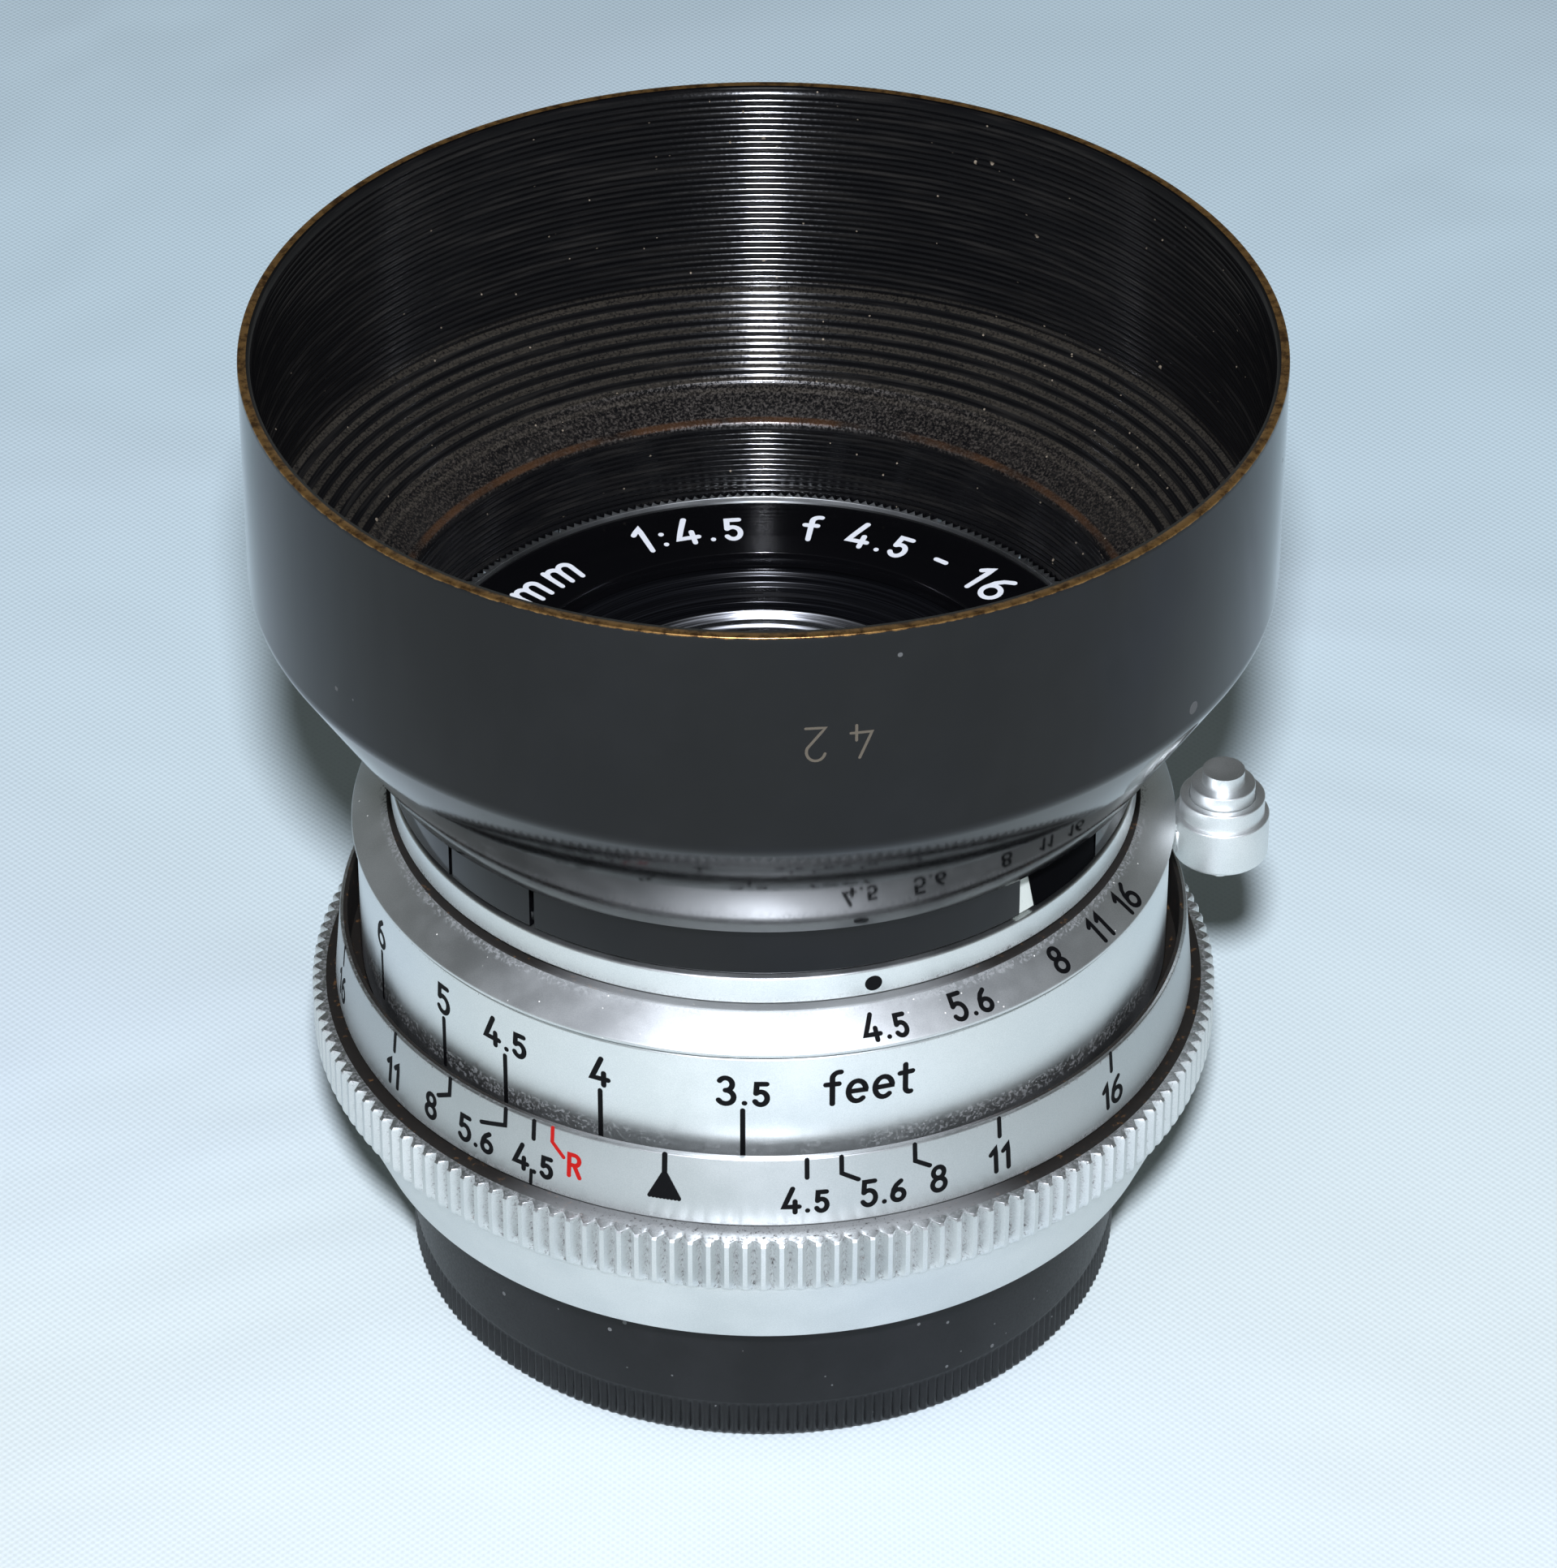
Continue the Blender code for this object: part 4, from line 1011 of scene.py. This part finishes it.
def dress_cad_nodes(finishes):
    """Procedural finishes for the CAD nodes that stay as they are."""
    kept = {
        "brass": ["helicoid_outer", "helicoid_inner", "iris_drive_ring"],
        "thread": ["mount_thread", "cam_sleeve"],
        "steel": ["focus_stop", "catch_screw", "cam_key", "head_screw_1", "head_screw_2", "head_screw_3",
                  "drive_pin"],
        "blade": [f"iris_blade_{number}" for number in range(1, 7)],
        "black": ["lens_barrel", "iris_cage", "rear_cell", "rear_retainer"],
        "glass": ["middle_element", "rear_element"],
        "chrome": ["infinity_catch"],
    }
    for key, nodes in kept.items():
        for node in nodes:
            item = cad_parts[node]
            item.data.materials.clear()
            item.data.materials.append(finishes[key])


# ---------------------------------------------------------------- surroundings

def build_floor():
    made = Nodes("pale_cloth")
    weave_size, reach = 0.55, 3.0
    weave = made.times(*(made.math("SINE", made.times(socket, math.tau / (weave_size * MM)))
                         for socket in (made.x, made.y)))
    folds = made.noise(70, 3.0, 0.5, distortion=0.4)
    # Painted light: the cloth is lighter and bluer far off and greyer near the camera, setting how the
    # light falls across it.
    near = made.mask(made.y, 0.12, -0.06)
    color = made.mix(near, (0.76, 0.94, 1.0), (0.76, 0.82, 0.78))
    color = made.mix(made.mask(folds, 0.4, 0.9), color, (0.76, 0.86, 0.93))
    color = made.mix(made.times(made.mask(weave, 0.1, 0.9), 0.12), color, (0.4, 0.5, 0.56))
    normal = made.bump(folds, 5.0, 0.5)
    normal = made.bump(weave, 0.05, 0.22, normal)
    cloth = made.finish(Base_Color=color, Roughness=0.9, Normal=normal)
    mesh = bpy.data.meshes.new("floor")
    corners = [(-reach, -reach, 0), (reach, -reach, 0), (reach, reach, 0), (-reach, reach, 0)]
    mesh.from_pydata(corners, [], [(0, 1, 2, 3)])
    mesh.materials.append(cloth)
    floor = put("floor", mesh)


def area_light(name, place, target, size, power, color=(1, 1, 1)):
    light = bpy.data.lights.new(name, "AREA")
    light.shape, light.size, light.energy, light.color = "DISK", size, power, color
    holder = put(name, light)
    holder.location = place
    holder.rotation_mode = "QUATERNION"
    holder.rotation_quaternion = (Vector(target) - Vector(place)).to_track_quat("-Z", "Y")


def build_camera():
    """The photograph's view, 35.5 degrees down on the front of the lens."""
    camera = bpy.data.cameras.new("camera")
    camera.lens, camera.sensor_width = 154.45342, 36.0
    camera.shift_x = 0.0096
    camera.clip_start = 0.01
    holder = put("camera", camera)
    holder.location = (0.0, -0.3205, 0.2608)
    holder.rotation_euler = (math.radians(90 - 35.51), 0.0, 0.0)
    bpy.context.scene.camera = holder


def build_light():
    """A flash over the camera, a weak light above, and a room that is darker overhead than at its walls."""
    world = bpy.data.worlds.new("studio")
    world.use_nodes = True
    background = world.node_tree.nodes["Background"]
    links = world.node_tree.links
    kinds = ("ShaderNodeTexCoord", "ShaderNodeSeparateXYZ", "ShaderNodeMapRange")
    direction, apart, fade = (world.node_tree.nodes.new(kind) for kind in kinds)
    links.new(direction.outputs["Generated"], apart.inputs[0])
    links.new(apart.outputs["Z"], fade.inputs["Value"])
    for name, value in (("From Min", 0.1), ("From Max", 0.85), ("To Min", 0.21), ("To Max", 0.015)):
        fade.inputs[name].default_value = value
    background.inputs["Color"].default_value = (0.95, 1.0, 0.97, 1.0)
    links.new(fade.outputs["Result"], background.inputs["Strength"])
    bpy.context.scene.world = world
    middle = (0.0, 0.0, 0.03)
    area_light("front_flash", (0.0, -0.345, 0.337), middle, 0.03, 2.95, (0.96, 1.0, 1.12))
    area_light("overhead", (0.0, -0.15, 0.52), middle, 0.1, 0.05)
    bpy.context.scene.view_settings.view_transform = "Standard"


def main():
    build_camera()
    build_light()
    build_floor()
    chrome = satin_chrome("satin_chrome_plate")
    # A dark ring at the band's foot, by the bevel ring: dirty flecks, with painted reflection and shade of
    # the gap.
    band_finish = satin_chrome("satin_chrome_band", dirt_and_shade_rings=((BAND_FOOT, 0.2, 0.5),))
    # A dark ring at the bevel's top and its inner face painted dark: painted shade of the gap under the
    # band, with grease.
    bevel_finish = satin_chrome("satin_chrome_bevel", dirt_and_shade_rings=((BEVEL_TOP, 0.1, 0.5),),
                                inside=(BEVEL_INNER + 0.05, BEVEL_FOOT), rough=0.47, tone=0.88, stretch=0.1,
                                marks_depth=0.008, dust=0.06)
    # A thin dark ring at the top, by the bevel ring, and a wide one at the foot: painted reflection and
    # shade of the dark gaps, with some soiling.
    focus_finish = satin_chrome("satin_chrome_focus",
                                dirt_and_shade_rings=((FOCUS_TOP, 0.05, 0.2), (SCALE_TOP, 0.35, 0.4)))
    # Its inner top face and rings at its top and foot painted dark: painted shade of the gaps by the focus
    # ring and the knurl, with rusty soiling.
    scale_finish = satin_chrome("satin_chrome_scale", inside=(24.85, 0), rough=0.42, tone=0.71,
                                dirt_and_shade_rings=((SCALE_TOP, 0.05, 0.3), (SCALE_FOOT, 0.25, 0.6)))
    knob_finish = satin_chrome("satin_chrome_knob", rough=0.47, stretch=0.0, marks_depth=0.02)
    # The top ledge and the knurl's valleys painted dark: painted shade under the depth-of-field ring and in
    # the grooves, with soiling.
    knurled = satin_chrome("satin_chrome_knurled", dirt_and_shade_rings=((MOUNT_TOP, 0.1, 0.35),), inside=(26.05, 15.5),
                           valleys=(26.34, 26.75, 15.5, MOUNT_TOP), rough=0.44, tone=0.84)
    black = paint("engraving_black", (0.003, 0.003, 0.0035), 0.5)
    red = paint("engraving_red", (0.42, 0.008, 0.006))
    white = paint("engraving_white", (0.8, 0.82, 0.84))
    faint = paint("scratched_number", (0.1, 0.085, 0.065), 0.5)
    inside_black = turned_black()
    retainer_steel = plain_metal("worn_retainer", (0.22, 0.225, 0.24), (0.42, 0.43, 0.45), 0.2)
    glass = coated_glass("coated_front_glass", (0.86, 0.92, 1.0))

    # The bent tongue is in a black that reflects nothing, as painted shade of an opening; the cut edge
    # beside it is pale paint, uncoated metal with a painted highlight.
    build_hood(enamel(), baffle_black(), gloss_black("tongue_shade_black", 1.02),
               paint("bare_cut_metal_painted_highlight", (0.6, 0.63, 0.58), 0.4))
    build_hood_number(faint)
    build_aperture_ring(band_finish)
    build_dot(black)
    build_bevel_ring(bevel_finish, black)
    build_focus_ring(focus_finish, black)
    build_scale_ring(scale_finish, black, red)
    build_mount_ring(knurled)
    build_cap(cap_plastic())
    build_name_ring(gloss_black(), white)
    build_front_cell(inside_black, retainer_steel, glass)
    build_knob(knob_finish)
    steel = plain_metal("machined_steel", (0.38, 0.38, 0.38), (0.6, 0.6, 0.6), 0.28)
    build_lock_spring(steel)
    dress_cad_nodes({
        "brass": plain_metal("machined_brass", (0.45, 0.32, 0.14), (0.66, 0.48, 0.22), 0.3),
        "thread": plain_metal("plated_thread", (0.5, 0.5, 0.47), (0.68, 0.67, 0.63), 0.28),
        "steel": steel,
        "blade": plain_metal("blackened_blades", (0.02, 0.02, 0.022), (0.06, 0.06, 0.065), 0.35),
        "black": inside_black,
        "glass": glass,
        "chrome": chrome,
    })


main()
